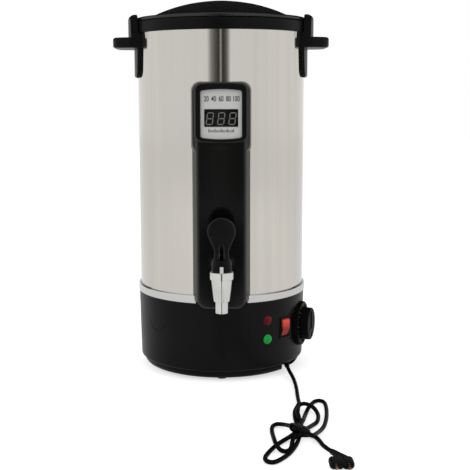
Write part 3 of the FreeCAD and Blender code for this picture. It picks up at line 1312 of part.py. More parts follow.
def tap_lever():
    """The upright lever: a rounded paddle on a forked foot that straddles the stem."""
    lever = Piece("tap_lever", on_tap_axis())
    foot, top = size.bonnet_top + size.lever_gap, size.lever_top
    neck, rise = size.lever_neck_half, top - size.lever_neck
    bow = (neck * neck + rise * rise) / (rise * 2)
    side, waist = size.lever_foot_half, size.lever_waist_half
    lever.pad("XZ_Plane", [[
        at(-side, foot, 0.8), at(side, foot, 0.8), at(waist, size.lever_waist, 14),
        at(neck, size.lever_neck, 0, bow), at(0, top, 0, bow), at(-neck, size.lever_neck),
        at(-waist, size.lever_waist, 14)]], 0, 40, middle=True)
    front, back, half = size.lever_front, size.lever_back, size.paddle_thick / 2
    lean = -2.5
    body = [at(-front, foot), at(back, foot), at(back - 1.5, size.lever_waist - 4, 10),
            at(half + lean, size.lever_neck, 20), at(half + lean - 1.8, top + 1),
            at(-half + lean - 1, top + 1), at(-half + lean, size.lever_neck, 20),
            at(-front + 1, size.lever_waist - 4, 10)]
    around_body = box(-30, 30, foot - 10, top + 10)
    lever.cut("YZ_Plane", [around_body, body], 0, 60, middle=True)
    slot, roof = size.lever_slot_half, size.lever_slot_top
    lever.cut("XZ_Plane", [[at(-slot, foot - 1), at(slot, foot - 1), at(slot, roof, slot * 0.98),
                            at(-slot, roof, slot * 0.98)]], 0, 40, middle=True)
    lever.cut("YZ_Plane", [ring(0, size.pin_height, size.pin_radius)], 0, 40, middle=True)


def tap_pin():
    pin = Piece("tap_pin", on_tap_axis())
    pin.pad("YZ_Plane", [ring(0, size.pin_height, size.pin_radius)], 0, size.lever_foot_half * 2 - 1.2,
            middle=True)


# ---------------------------------------------------------------- thermostat, lamps and switch


def thermostat_body():
    place = facing_out(size.dial_angle, size.dial_height)
    stat = Piece("thermostat_body", place)
    half, back, front = size.stat_half, size.stat_back, size.stat_front
    stat.pad("XY_Plane", [box(-half, half, -half, half, 3)], back, front - back - 1)
    stat.pad("XY_Plane", [box(-half - 2, half + 2, -half - 2, half + 2, 2)], front - 1, 1)
    stat.pad("XY_Plane", [ring(0, 0, size.bush_radius)], front, size.dial_seat - front)
    bore = size.spindle_radius + size.spindle_running
    stat.cut("XY_Plane", [ring(0, 0, bore)], back + 6, 60)
    threads = [ring(0, spot, size.stat_screw_radius) for spot in (-size.stat_screw, size.stat_screw)]
    stat.cut("XY_Plane", threads, front - 8, 20)
    for x in (-9, 3):
        stat.pad("XY_Plane", [box(x, x + 6.3, -10, -9.2), box(x, x + 6.3, 9.2, 10)], back, 9, back=True)


def thermostat_screws():
    screws = Piece("thermostat_screws", facing_out(size.dial_angle, size.dial_height))
    seat, front, radius = size.dial_seat, size.stat_front, size.stat_screw_radius
    spots = (-size.stat_screw, size.stat_screw)
    screws.pad("XY_Plane", [ring(0, spot, radius) for spot in spots], front - 6, seat - front + 6)
    screws.pad("XY_Plane", [ring(0, spot, radius * 1.85) for spot in spots], seat, 1.6)


def thermostat_bezel():
    """The round dial plate, let into its seat, with a dish for the knob."""
    bezel = Piece("thermostat_bezel", facing_out(size.dial_angle, size.dial_height))
    back, face, radius = size.dial_seat, size.dial_face, size.dial_radius
    dish, hole = size.dial_dish_radius, size.bush_radius + 0.3
    bezel.turn([[at(hole, back), at(radius, back), at(radius, face, 2.2), at(dish + 1, face, 0.6),
                 at(dish, face - size.dial_dish), at(hole, face - size.dial_dish)]])
    pocket = size.stat_screw_radius * 1.85 + 0.4
    bezel.cut("XY_Plane", [ring(0, -size.stat_screw, pocket), ring(0, size.stat_screw, pocket)], back, 2.2)


def thermostat_knob():
    """A fluted knob with a raised grip across its face, on the spindle."""
    knob = Piece("thermostat_knob", facing_out(size.dial_angle, size.dial_height))
    back, face, radius = size.knob_back, size.knob_face, size.knob_radius
    knob.turn([[at(0, back), at(radius, back, 0.6), at(radius - 0.8, face - 1.5, 1.6),
                at(radius - 4, face - 1.2), at(0, face - 1.2)]])
    flute = knob.cut("XY_Plane", [ring(0, radius + size.knob_flute * 0.45, size.knob_flute)], back + 1.5, 30)
    knob.around([flute], size.knob_flutes)
    knob.pad("XY_Plane", [box(-3.2, 3.2, -radius + 5, radius - 5, 3)], face - 4, 4)
    knob.cut("XY_Plane", [ring(0, 0, size.spindle_radius)], back - 1, size.spindle_end - back + 1)


def thermostat_spindle():
    spindle = Piece("thermostat_spindle", facing_out(size.dial_angle, size.dial_height))
    start = size.stat_back + 6.3
    spindle.pad("XY_Plane", [ring(0, 0, size.spindle_radius)], start, size.spindle_end - start)


def pilot_lamp(label, height):
    """A push-in pilot lamp: a domed lens, its body through the wall and two blades behind."""
    lamp = Piece(label, facing_out(size.lamp_angle, height))
    seat, face, back = size.lamp_seat, size.lamp_face, size.lamp_back
    radius, body = size.lamp_radius, size.lamp_body_radius
    rise = face - seat - 1
    bow = (radius * radius + rise * rise) / (rise * 2)
    lamp.turn([[at(0, back), at(body, back, 0.8), at(body, seat), at(radius, seat),
                at(radius, seat + 1, 0, bow), at(0, face)]])
    lamp.pad("XY_Plane", [box(-3.2, -2.5, -1.4, 1.4), box(2.5, 3.2, -1.4, 1.4)], back, 7, back=True)


def lamp_clips():
    """Spring collars that hold the lamps from behind the wall."""
    for label, height in (("lamp_clip_red", size.red_height), ("lamp_clip_green", size.green_height)):
        clip = Piece(label, facing_out(size.lamp_angle, height))
        inner = size.lamp_body_radius + 0.05
        behind = size.lamp_seat - 5.2
        clip.pad("XY_Plane", [ring(0, 0, inner + 3), ring(0, 0, inner)], behind, 2, back=True)


def rocker_housing():
    """The switch body: a flange on the wall, a well for the rocker and two blades behind."""
    switch = Piece("rocker_housing", facing_out(size.switch_angle, size.switch_height))
    seat, back = size.switch_seat, size.switch_back
    wide, tall = size.switch_body_half_wide, size.switch_body_half_tall
    switch.pad("XY_Plane", [box(-wide, wide, -tall, tall, 0.5)], back, seat - back)
    wide, tall = size.switch_flange_half_wide, size.switch_flange_half_tall
    switch.pad("XY_Plane", [box(-wide, wide, -tall, tall, 1.3)], seat, size.switch_flange)
    play = size.rocker_play
    wide, tall = size.rocker_half_wide + play, size.rocker_radius + play
    switch.cut("XY_Plane", [box(-wide, wide, -tall, tall)], size.rocker_pivot - 7, 30)
    socket = size.rocker_pin + size.rocker_pin_running
    switch.cut("YZ_Plane", [ring(0, size.rocker_pivot, socket)], 0, (wide + 0.8) * 2, middle=True)
    switch.pad("XY_Plane", [box(-0.4, 0.4, -8, -2), box(-0.4, 0.4, 2, 8)], back, 8, back=True)


def rocker():
    """The rocker: two shallow facets that meet over the pivot, tipped with the upper half proud."""
    pivot = size.rocker_pivot
    tilt = (f"placement(vector(0; 0; {size.switch_height.text}); rotation(vector(0; 0; 1);"
            f" {size.switch_angle.text}) * rotation(vector(1; 0; 0); 90))"
            f" * placement(vector(0; 0; {pivot.text}); rotation(vector(1; 0; 0); {size.rocker_tilt.text}))")
    rocker = Piece("rocker", tilt)
    reach, rise = size.rocker_radius, size.rocker_rise
    slope = rise - reach * sine(size.rocker_tilt)
    end = root(reach * reach - slope * slope)
    low = -rise + 1.5
    foot = root(reach * reach - low * low)
    profile = [at(foot, low, 0, reach), at(end, slope), at(0, rise, 9), at(-end, slope, 0, reach),
               at(-foot, low)]
    rocker.pad("YZ_Plane", [profile], 0, size.rocker_half_wide * 2, middle=True)
    pin = size.rocker_half_wide + size.rocker_play + 0.6
    rocker.pad("YZ_Plane", [ring(0, 0, size.rocker_pin)], 0, pin * 2, middle=True)


# ---------------------------------------------------------------- cord


def terminal_block():
    block = Piece("terminal_block")
    floor = size.foot_height + size.pan_wall
    half, deep = size.block_length / 2, size.block_width / 2
    y = size.block_y
    block.pad("XY_Plane", [box(-half, half, y - deep, y + deep, 1.5)], floor, size.block_height * 0.55)
    block.pad("XY_Plane", [box(-half, half, y - deep * 0.6, y + deep * 0.6, 1.5)], floor, size.block_height)
    wells = [ring(x, y, 2.8) for x in (-11, 0, 11)]
    block.cut("XY_Plane", wells, floor + size.block_height - 5, 9)
    mouths = [ring(x, floor + 5, 2.2) for x in (-11, 0, 11)]
    block.cut("XZ_Plane", mouths, -y - deep - 1, 8)


def cord_grip():
    """A moulded block in a notch of the base pan: a wall, a roof and the tapered strain relief."""
    grip = Piece("cord_grip")
    gap = size.fit_gap
    roof = size.pan_top - size.pan_wall - gap
    floor, back, wall = size.foot_height, -size.notch_back - gap, size.notch_wall
    left, reach = size.notch_left + gap, size.pan_radius + 5
    grip.pad("XY_Plane", [[at(left, -reach), at(reach, -reach), at(reach, back), at(left, back)]], floor,
             roof - floor)
    outer, corner = size.pan_radius, size.pan_corner
    core, beyond = outer - 46, reach * 1.5
    grip.turn_cut([[at(outer, floor + corner + 1), at(outer, floor, corner), at(core, floor), at(core, -5),
                    at(beyond, -5), at(beyond, 40), at(outer, 40)]])
    grip.cut("XY_Plane", [[at(left + 2, -reach), at(reach, -reach), at(reach, back - wall),
                           at(left + 2, back - wall)]], floor - 5, roof - floor - size.notch_roof + 5)
    level, x = size.cord_hole_height, size.cord_hole_x
    start, end = size.notch_back + wall, size.notch_back + wall + size.relief_length
    grip.loft([grip.sketch("XZ_Plane", [ring(x, level, size.relief_root)], start - 1),
               grip.sketch("XZ_Plane", [ring(x, level, size.relief_tip)], end)])
    grip.cut("XZ_Plane", [ring(x, level, size.cord_radius)], size.notch_back - 14, 90)


# Routes of the cord's free runs, in millimetres: from the strain relief to the tied hank, and from
# the hank to the plug.
LEAD_ROUTE = (
    (86.5, -40.0, 7.6), (86.5, -73.0, 7.6), (90.9, -97.0, 4.4), (92.8, -120.0, 2.5),
    (92.7, -146.0, 2.5), (91.4, -178.0, 2.5), (91.4, -197.0, 2.5),
)
TAIL_ROUTE = (
    (99.2, -309.3, 2.5), (103.01, -323.2, 2.5), (104.84, -347.36, 5.0), (111.65, -360.72, 5.0),
)
# Outer shape of the tied hank, seen from above.
HANK_OUTLINE = (
    (84.0, -197.0), (99.0, -197.0), (108.0, -199.0), (117.0, -188.0), (125.0, -199.0), (124.0, -240.0),
    (116.0, -284.0), (105.4, -307.6), (93.0, -311.0), (84.0, -334.0), (70.0, -364.0), (52.0, -387.0),
    (39.0, -380.0), (44.0, -356.0), (51.0, -338.0), (50.0, -296.0), (56.0, -270.0), (68.0, -268.0),
    (77.0, -276.0), (79.0, -240.0),
)


def bend_radius(before, corner, after):
    """Largest radius that the two runs beside a corner allow, as 0.45 of the shorter one."""
    back, ahead = before - corner, after - corner
    turn = math.pi - back.getAngle(ahead)
    return 0.45 * min(back.Length, ahead.Length) / math.tan(turn / 2)


def cord_path(label, route):
    """Straight runs joined by tangent arcs through a route's points."""
    points = [Vector(*point) for point in route]
    edges, last, radii = [], points[0], []
    for before, corner, after in zip(points, points[1:], points[2:]):
        radius = bend_radius(before, corner, after)
        radii.append(round(radius))
        start, middle, end = corner_arc(before, corner, after, radius)
        edges.append(Part.LineSegment(last, start).toShape())
        edges.append(Part.Arc(start, middle, end).toShape())
        last = end
    edges.append(Part.LineSegment(last, points[-1]).toShape())
    print(label, "bend radii", radii)
    return Part.Wire(edges)


def cord_tube(label, route, radius):
    path = cord_path(label, route)
    start = Vector(*route[0])
    along = (Vector(*route[1]) - start).normalize()
    section = Part.Wire([Part.Circle(start, along, radius.value).toShape()])
    tube = path.makePipeShell([section], True, False)
    expected = math.pi * radius.value ** 2 * path.Length
    print(label, "length", round(path.Length, 1), "volume ratio", round(tube.Volume / expected, 5))
    piece = doc.addObject("Part::Feature", label)
    piece.Shape = tube
    PIECES[label] = piece
    return path.Length


def probe_route():
    """From the probe's potted end up to the display's board."""
    ahead = (size.tank_radius + size.probe_lead_ahead).value
    start = (size.probe_height + size.probe_end / 2).value
    board = (size.cover_face - size.cover_wall - size.board_thick).value
    middle = (size.window_bottom + size.probe_lead_up).value
    return (0.0, -ahead, start), (0.0, -ahead, middle), (0.0, -board, middle)


def cord_hank():
    """The outer shape of the tied hank of spare cord, lying on the floor."""
    hank = Piece("cord_hank")
    hank.pad("XY_Plane", [[at(x, y) for x, y in HANK_OUTLINE]], 0, size.hank_height)


def cord_tie():
    """The strap of the tie over the middle of the hank."""
    tie = Piece("cord_tie")
    x, y, half, width = size.tie_x, -size.tie_ahead, size.tie_half, size.tie_width
    tie.pad("XY_Plane", [box(x - half, x + half, y - width / 2, y + width / 2, 2)], size.hank_height,
            size.tie_thick)


def plug_place():
    """The plug lies on the floor, its origin where the strain relief enters its back."""
    return (f"placement(vector({size.plug_x.text}; {(-size.plug_back).text}; 0);"
            " rotation(vector(0; 0; 1); 0))")


def plug_body():
    """A moulded two-lobed plug with its slanted strain relief."""
    plug = Piece("plug_body", plug_place())
    left, right = size.plug_left, size.plug_right
    height, notch = size.plug_height, -size.plug_notch
    edge = size.plug_edge
    plug.pad("XZ_Plane", [[
        at(-left, 0, edge), at(notch - 1.6, 0, 0.8), at(notch, 1.3, 0.8), at(notch + 1.6, 0, 0.8),
        at(right, 0, edge), at(right, height, edge), at(notch + 1.6, height, 0.8),
        at(notch, height - 1, 0.8), at(notch - 1.6, height, 0.8), at(-left, height, edge)]], 0,
        size.plug_length)
    plug.round_edges(2.2, lambda middle, edge: abs(middle.y + size.plug_length.value) < 0.01
                     or abs(middle.y) < 0.01)
    tip = plug.sketch("XZ_Plane", [ring(0, size.plug_level, size.plug_relief_tip)], -size.plug_relief,
                      size.plug_lean)
    end = plug.sketch("XZ_Plane", [ring(0, size.plug_level, size.plug_relief_root)], 2.5, size.plug_lean)
    plug.loft([tip, end])
    plug.cut("XZ_Plane", blade_sections(), size.plug_length - size.blade_root, size.blade_root + 1)


def blade_sections():
    middle = (size.plug_right - size.plug_left) / 2
    half, tall, level = size.blade_thick / 2, size.blade_width / 2, size.plug_level - 0.5
    return [box(middle + x - half, middle + x + half, level - tall, level + tall)
            for x in (-size.blade_pitch / 2, size.blade_pitch / 2)]


def plug_pins():
    pins = Piece("plug_pins", plug_place())
    start = size.plug_length - size.blade_root
    pins.pad("XZ_Plane", blade_sections(), start, size.blade_root + size.blade_length)


BUILDERS = (
    feet, base_plate, base_screws, base_housing, trim_ring, outer_shell, top_collar, inner_tank,
    insulation_wrap, heating_plate, heating_element, thermal_cutout, handle_screws, lid_cover, lid_liner,
    lid_seal, lid_screws, front_panel, cover_screws, display_bezel, display_label, display_window,
    display_module, temperature_probe, tap_body, tap_washers, tap_spacer, tap_locknut, tap_bonnet, tap_stem,
    tap_seal, tap_spring, tap_lever, tap_pin, thermostat_body, thermostat_screws, thermostat_bezel,
    thermostat_knob, thermostat_spindle, lamp_clips, rocker_housing, rocker, terminal_block, cord_grip,
    cord_hank, cord_tie, plug_body, plug_pins,
)

for build in BUILDERS:
    build()
handle("right_handle", 0)
handle("left_handle", 180)
pilot_lamp("pilot_lamp_red", size.red_height)
pilot_lamp("pilot_lamp_green", size.green_height)
cord_tube("power_cord", LEAD_ROUTE, size.cord_radius)
cord_tube("plug_lead", TAIL_ROUTE, size.cord_radius)
cord_tube("probe_lead", probe_route(), size.probe_lead)
doc.recompute()

failed = [o.Name for o in doc.Objects if "Invalid" in o.State or "Error" in o.State]
if failed:
    raise RuntimeError(f"objects failed: {failed}")
for label, piece in PIECES.items():
    if piece.Shape.isNull() or not piece.Shape.isValid():
        raise RuntimeError(f"{label} has no valid shape")

os.makedirs("parts", exist_ok=True)
for label, piece in PIECES.items():
    piece.Shape.exportStep(f"parts/{label}.step")
print(len(PIECES), "pieces")
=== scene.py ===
import json
import math

import bmesh
import bpy
from mathutils import Matrix, Vector


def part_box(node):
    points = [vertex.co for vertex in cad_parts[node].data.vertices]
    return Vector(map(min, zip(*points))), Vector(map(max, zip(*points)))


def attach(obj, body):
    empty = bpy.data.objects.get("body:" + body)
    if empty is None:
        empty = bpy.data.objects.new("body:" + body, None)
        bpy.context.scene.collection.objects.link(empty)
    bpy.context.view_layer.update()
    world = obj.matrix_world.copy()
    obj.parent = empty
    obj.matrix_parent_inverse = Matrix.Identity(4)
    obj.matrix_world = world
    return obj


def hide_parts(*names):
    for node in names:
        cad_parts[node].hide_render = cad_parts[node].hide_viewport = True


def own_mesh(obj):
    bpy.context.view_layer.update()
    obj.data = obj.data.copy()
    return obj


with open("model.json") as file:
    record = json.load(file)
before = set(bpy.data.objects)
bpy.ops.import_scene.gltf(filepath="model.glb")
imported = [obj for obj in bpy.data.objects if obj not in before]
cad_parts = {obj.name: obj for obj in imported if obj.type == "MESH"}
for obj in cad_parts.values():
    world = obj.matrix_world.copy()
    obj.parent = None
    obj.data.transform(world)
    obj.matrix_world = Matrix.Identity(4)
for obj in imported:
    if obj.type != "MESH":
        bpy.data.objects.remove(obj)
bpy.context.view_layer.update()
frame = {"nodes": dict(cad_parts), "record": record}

# The looks of a ten-litre wax melting urn. Lengths are in millimetres until they reach Blender.
# The urn's axis is Z, the floor is z = 0 and the tap side is -Y.

MM = 0.001
nodes = frame["nodes"]

# ---------------------------------------------------------------- camera

EYE = (0.0, -1289.8, 367.0)
PITCH = math.radians(8.5)
ROLL = -0.003
LENS = 73.14
SENSOR_WIDTH = 36
SHIFT_X = 0.0287
CLIP_NEAR = 0.05  # metres
CLIP_FAR = 50  # metres


def make_camera():
    data = bpy.data.cameras.new("camera")
    data.lens = LENS
    data.sensor_width = SENSOR_WIDTH
    data.shift_x = SHIFT_X
    data.clip_start = CLIP_NEAR
    data.clip_end = CLIP_FAR
    camera = bpy.data.objects.new("camera", data)
    tilt = Matrix.Rotation(math.pi / 2 - PITCH, 4, "X") @ Matrix.Rotation(ROLL, 4, "Z")
    camera.matrix_world = Matrix.Translation(Vector(EYE) * MM) @ tilt
    bpy.context.scene.collection.objects.link(camera)
    bpy.context.scene.camera = camera


make_camera()

# ---------------------------------------------------------------- mains lead

CORD_RADIUS = 2.4

CORD_POINTS = (
    # out of the grip and forward along the floor
    (86.5, -40, 7.6), (86.5, -73, 7.6), (90.9, -97, 4.4), (92.8, -120, 2.5), (92.7, -146, 2.5),
    (91.4, -178, 2.5), (91.4, -197, 2.5),
    # the tied hank: its loops in the order the cord runs
    (91.1, -201.5, 2.5), (87.6, -214.4, 2.5), (83.9, -228.3, 2.5), (82.6, -244.6, 2.5),
    (82.4, -260.5, 2.5), (83.0, -277.7, 2.5), (83.6, -293.9, 2.5), (83.7, -306.3, 2.5),
    (78.6, -332.7, 2.5), (69.3, -359.4, 2.5), (58.6, -376.2, 2.5), (51.6, -383.6, 2.5),
    (45.3, -382.0, 2.5), (42.4, -373.6, 2.5), (45.6, -361.1, 2.5), (55.2, -338.4, 2.5), (66.7, -319.9, 2.4),
    (70.8, -318.4, 4.1), (75.4, -316.6, 6.6), (79.7, -310.1, 7.4), (83.0, -297.9, 7.3),
    (86.3, -285.7, 7.3), (90.0, -273.3, 7.3), (93.6, -251.0, 4.4), (97.2, -231.8, 2.2),
    (100.1, -219.9, 2.5), (104.1, -208.0, 2.5), (107.7, -198.5, 2.5), (112.4, -191.4, 2.5),
    (118.4, -191.0, 2.5), (121.8, -198.5, 2.5), (121.9, -211.0, 2.5), (121.1, -226.5, 2.5),
    (119.2, -244.2, 2.5), (116.4, -262.5, 2.5), (111.9, -282.4, 2.4), (105.2, -298.5, 3.2),
    (99.9, -314.7, 6.6), (96.0, -325.3, 8.4), (88.4, -325.1, 11.8), (82.4, -316.0, 12.2),
    (76.5, -308.6, 11.9), (71.8, -289.7, 7.5), (67.0, -277.0, 3.8), (61.0, -272.0, 2.7),
    (56.0, -277.5, 2.5), (54.2, -288.0, 2.4), (54.1, -303.0, 2.9), (54.5, -327.0, 6.2), (55.0, -341.8, 7.8),
    (56.4, -346.5, 6.2), (59.6, -352.4, 3.2), (65.0, -355.0, 2.5), (69.9, -350.2, 2.5),
    (72.2, -340.8, 2.6),
    (73.4, -330.9, 2.6), (74.6, -324.3, 4.4), (78.1, -321.7, 7.0), (82.4, -313.7, 7.4),
    (87.6, -306.7, 7.6), (94.5, -290.6, 5.0), (101.4, -273.9, 2.3), (105.6, -267.8, 2.5),
    (108.9, -253.7, 2.5), (109.9, -238.6, 2.3), (108.0, -227.1, 3.8), (103.5, -223.5, 7.1),
    (99.6, -218.8, 7.4), (94.9, -216.5, 7.4), (90.3, -219.8, 7.3), (88.1, -227.5, 7.2),
    (86.9, -239.5, 7.0), (85.8, -244.2, 6.8), (86.6, -258.1, 5.1), (87.4, -269.6, 2.4),
    (88.1, -285, 2.5), (89.5, -299.5, 2.5), (92.6, -305.0, 2.5), (96.6, -308.6, 2.5),
    # out to the plug
    (99.9, -312.5, 2.5), (103.01, -323.2, 2.5), (104.84, -347.36, 5), (111.65, -360.72, 5),
)


def make_cord(name, points, radius):
    """A round flexible lead: one smooth spline led by its route's control points."""
    data = bpy.data.curves.new(name, "CURVE")
    data.dimensions = "3D"
    spline = data.splines.new("NURBS")
    spline.points.add(len(points) - 1)
    for spot, point in zip(spline.points, points):
        spot.co = (*(Vector(point) * MM), 1)
        spot.radius = radius * MM
    spline.order_u = 3
    spline.use_endpoint_u = True
    spline.resolution_u = 8
    data.bevel_depth = 1.0
    data.bevel_resolution = 4
    data.use_fill_caps = True
    lead = bpy.data.objects.new(name, data)
    bpy.context.scene.collection.objects.link(lead)
    return lead


def lead_line(lead):
    """The points of the lead's own spline, in millimetres."""
    data = lead.data.copy()
    data.bevel_depth = 0
    thread = bpy.data.objects.new("thread", data)
    mesh = bpy.data.meshes.new_from_object(thread)
    points = [vert.co / MM for vert in mesh.vertices]
    bpy.data.objects.remove(thread)
    bpy.data.curves.remove(data)
    bpy.data.meshes.remove(mesh)
    return points


def mesh_piece(name, build, body="urn", slot=None, smooth=False):
    """A mesh shaped by build(bm) in millimetres, riding on a body."""
    bm = bmesh.new()
    build(bm)
    bmesh.ops.recalc_face_normals(bm, faces=bm.faces)
    bmesh.ops.scale(bm, vec=(MM, MM, MM), verts=bm.verts)
    data = bpy.data.meshes.new(name)
    bm.to_mesh(data)
    bm.free()
    data.polygons.foreach_set("use_smooth", [smooth] * len(data.polygons))
    made = bpy.data.objects.new(name, data)
    bpy.context.scene.collection.objects.link(made)
    if slot is not None:
        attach(made, body)
    return made


TIE_Y = -304.0
TIE_REACH = (70.0, 97.0)
TIE_WIDTH = 6.8
TIE_THICK = 1.1
TIE_RECESS = 1.6
TIE_OFF_FLOOR = 0.1
TIE_END_FACING = 0.9


def build_tie(bm):
    """A strap drawn tight round the strands that cross its plane, its two edges standing proud."""
    line = lead_line(cord)
    strands = [one.lerp(two, (TIE_Y - one.y) / (two.y - one.y)) for one, two in zip(line, line[1:])
               if (one.y - TIE_Y) * (two.y - TIE_Y) < 0 and TIE_REACH[0] < one.x < TIE_REACH[1]]
    upright = Matrix.Rotation(math.pi / 2, 4, "X")
    radius = CORD_RADIUS + TIE_THICK
    for strand in strands:
        height = max(strand.z, radius + TIE_OFF_FLOOR)
        for side in (-1, 1):
            spot = Vector((strand.x, TIE_Y + side * TIE_WIDTH / 2, height))
            bmesh.ops.create_circle(bm, segments=20, radius=radius, matrix=Matrix.Translation(spot) @ upright)
    shell = bmesh.ops.convex_hull(bm, input=bm.verts)
    inside = dict.fromkeys(shell["geom_interior"] + shell["geom_unused"])
    loose = [item for item in inside if isinstance(item, bmesh.types.BMVert)]
    bmesh.ops.delete(bm, geom=loose, context="VERTS")
    bmesh.ops.recalc_face_normals(bm, faces=bm.faces)
    bmesh.ops.dissolve_limit(bm, angle_limit=math.radians(1), verts=bm.verts, edges=bm.edges)
    ends = [face for face in bm.faces if abs(face.normal.y) > TIE_END_FACING]
    bmesh.ops.inset_region(bm, faces=ends, thickness=TIE_THICK, depth=-TIE_RECESS)


cord = make_cord("mains_lead", CORD_POINTS, CORD_RADIUS)
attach(cord, "urn")
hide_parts("power_cord", "cord_hank", "plug_lead")

tie = mesh_piece("lead_tie", build_tie, slot="rubber")
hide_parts("cord_tie")

# ---------------------------------------------------------------- effects that finishes share

FLOAT, VECTOR, COLOUR = "NodeSocketFloat", "NodeSocketVector", "NodeSocketColor"
BEVEL_SAMPLES = 6


class Effect:
    """A shader node group under construction."""

    def __init__(self, name, inputs, outputs):
        self.tree = bpy.data.node_groups.new(name, "ShaderNodeTree")
        for label, kind, value in inputs:
            self.tree.interface.new_socket(name=label, in_out="INPUT", socket_type=kind).default_value = value
        for label, kind in outputs:
            self.tree.interface.new_socket(name=label, in_out="OUTPUT", socket_type=kind)
        self.inputs = self.tree.nodes.new("NodeGroupInput").outputs
        self.outputs = self.tree.nodes.new("NodeGroupOutput").inputs

    def node(self, kind, wires, **settings):
        made = self.tree.nodes.new(kind)
        for key, value in settings.items():
            setattr(made, key, value)
        for socket, source in wires.items():
            if isinstance(source, bpy.types.NodeSocket):
                self.tree.links.new(source, made.inputs[socket])
            else:
                made.inputs[socket].default_value = source
        return made

    def give(self, label, source):
        self.tree.links.new(source, self.outputs[label])

    def cells(self, kind, output, **wires):
        """A texture's output on stretched object coordinates."""
        place = self.node("ShaderNodeTexCoord", {}).outputs["Object"]
        stretched = self.node("ShaderNodeMapping", {"Vector": place, "Scale": self.inputs["Stretch"]})
        wires = {"Vector": stretched.outputs[0], "Scale": self.inputs["Cells"], **wires}
        return self.node(kind, wires).outputs[output]


CELLS = [("Cells", FLOAT, 14.0), ("Stretch", VECTOR, (1, 1, 1))]


def make_mottle():
    """Colour and gloss that drift together over the surface."""
    mottle = Effect("mottle", CELLS + [
        ("Detail", FLOAT, 3.0), ("Low", FLOAT, 0.3), ("High", FLOAT, 0.7), ("First", COLOUR, (0, 0, 0, 1)),
        ("Second", COLOUR, (0, 0, 0, 1)), ("Smooth", FLOAT, 0.3), ("Rough", FLOAT, 0.5)],
        [("Colour", COLOUR), ("Roughness", FLOAT)])
    give = mottle.inputs
    noise = mottle.cells("ShaderNodeTexNoise", "Fac", Detail=give["Detail"])
    share = mottle.node("ShaderNodeMapRange", {"Value": noise, "From Min": give["Low"],
                                               "From Max": give["High"]})
    mixed = mottle.node("ShaderNodeMix", {"Factor": share.outputs[0], "A": give["First"],
                                          "B": give["Second"]}, data_type="RGBA")
    gloss = mottle.node("ShaderNodeMapRange", {"Value": share.outputs[0], "To Min": give["Smooth"],
                                               "To Max": give["Rough"]})
    mottle.give("Colour", mixed.outputs["Result"])
    mottle.give("Roughness", gloss.outputs[0])
    return mottle.tree


def make_grain():
    """Fine relief over edges that take the light as if rounded."""
    grain = Effect("grain", CELLS + [
        ("Edge", FLOAT, 0.0005), ("Detail", FLOAT, 2.0), ("Strength", FLOAT, 0.1), ("Depth", FLOAT, 0.00005)],
        [("Normal", VECTOR)])
    give = grain.inputs
    noise = grain.cells("ShaderNodeTexNoise", "Fac", Detail=give["Detail"])
    rounded = grain.node("ShaderNodeBevel", {"Radius": give["Edge"]}, samples=BEVEL_SAMPLES)
    bump = grain.node("ShaderNodeBump", {"Height": noise, "Strength": give["Strength"],
                                         "Distance": give["Depth"], "Normal": rounded.outputs[0]})
    grain.give("Normal", bump.outputs[0])
    return grain.tree


def make_edge_sheen():
    """How far a spot lies on an edge, where the colour is paled as a painted highlight."""
    sheen = Effect("edge_sheen", [("Reach", FLOAT, 0.001), ("Amount", FLOAT, 4.0)], [("Sheen", FLOAT)])
    rounded = sheen.node("ShaderNodeBevel", {"Radius": sheen.inputs["Reach"]}, samples=BEVEL_SAMPLES)
    flat = sheen.node("ShaderNodeNewGeometry", {})
    along = sheen.node("ShaderNodeVectorMath", {0: rounded.outputs[0], 1: flat.outputs["Normal"]},
                      operation="DOT_PRODUCT")
    bent = sheen.node("ShaderNodeMath", {0: 1.0, 1: along.outputs["Value"]}, operation="SUBTRACT")
    shown = sheen.node("ShaderNodeMath", {0: bent.outputs[0], 1: sheen.inputs["Amount"]}, operation="MULTIPLY",
                      use_clamp=True)
    sheen.give("Sheen", shown.outputs[0])
    return sheen.tree


def make_facets():
    """Small moulded prisms, as inside a lamp lens."""
    facets = Effect("facets", CELLS + [
        ("First", COLOUR, (0, 0, 0, 1)), ("Second", COLOUR, (0, 0, 0, 1)), ("Strength", FLOAT, 0.5),
        ("Depth", FLOAT, 0.0004)], [("Colour", COLOUR), ("Normal", VECTOR)])
    give = facets.inputs
    spots = facets.cells("ShaderNodeTexVoronoi", "Distance")
    mixed = facets.node("ShaderNodeMix", {"Factor": spots, "A": give["First"], "B": give["Second"]},
                        data_type="RGBA")
    bump = facets.node("ShaderNodeBump", {"Height": spots, "Strength": give["Strength"],
                                          "Distance": give["Depth"]})
    facets.give("Colour", mixed.outputs["Result"])
    facets.give("Normal", bump.outputs[0])
    return facets.tree


def make_height_blend():
    """One colour below a height, another above it, in metres from the floor."""
    blend = Effect("height_blend", [("Below", COLOUR, (0, 0, 0, 1)), ("Above", COLOUR, (0, 0, 0, 1)),
                                    ("Low", FLOAT, 0.0), ("High", FLOAT, 1.0)], [("Colour", COLOUR)])
    give = blend.inputs
    place = blend.node("ShaderNodeTexCoord", {}).outputs["Object"]
    height = blend.node("ShaderNodeSeparateXYZ", {0: place}).outputs["Z"]
    share = blend.node("ShaderNodeMapRange", {"Value": height, "From Min": give["Low"],
                                              "From Max": give["High"]})
    mixed = blend.node("ShaderNodeMix", {"Factor": share.outputs[0], "A": give["Below"],
                                         "B": give["Above"]}, data_type="RGBA")
    blend.give("Colour", mixed.outputs["Result"])
    return blend.tree


EFFECTS = {"mottle": make_mottle(), "grain": make_grain(), "edge_sheen": make_edge_sheen(),
           "facets": make_facets(), "height_blend": make_height_blend()}
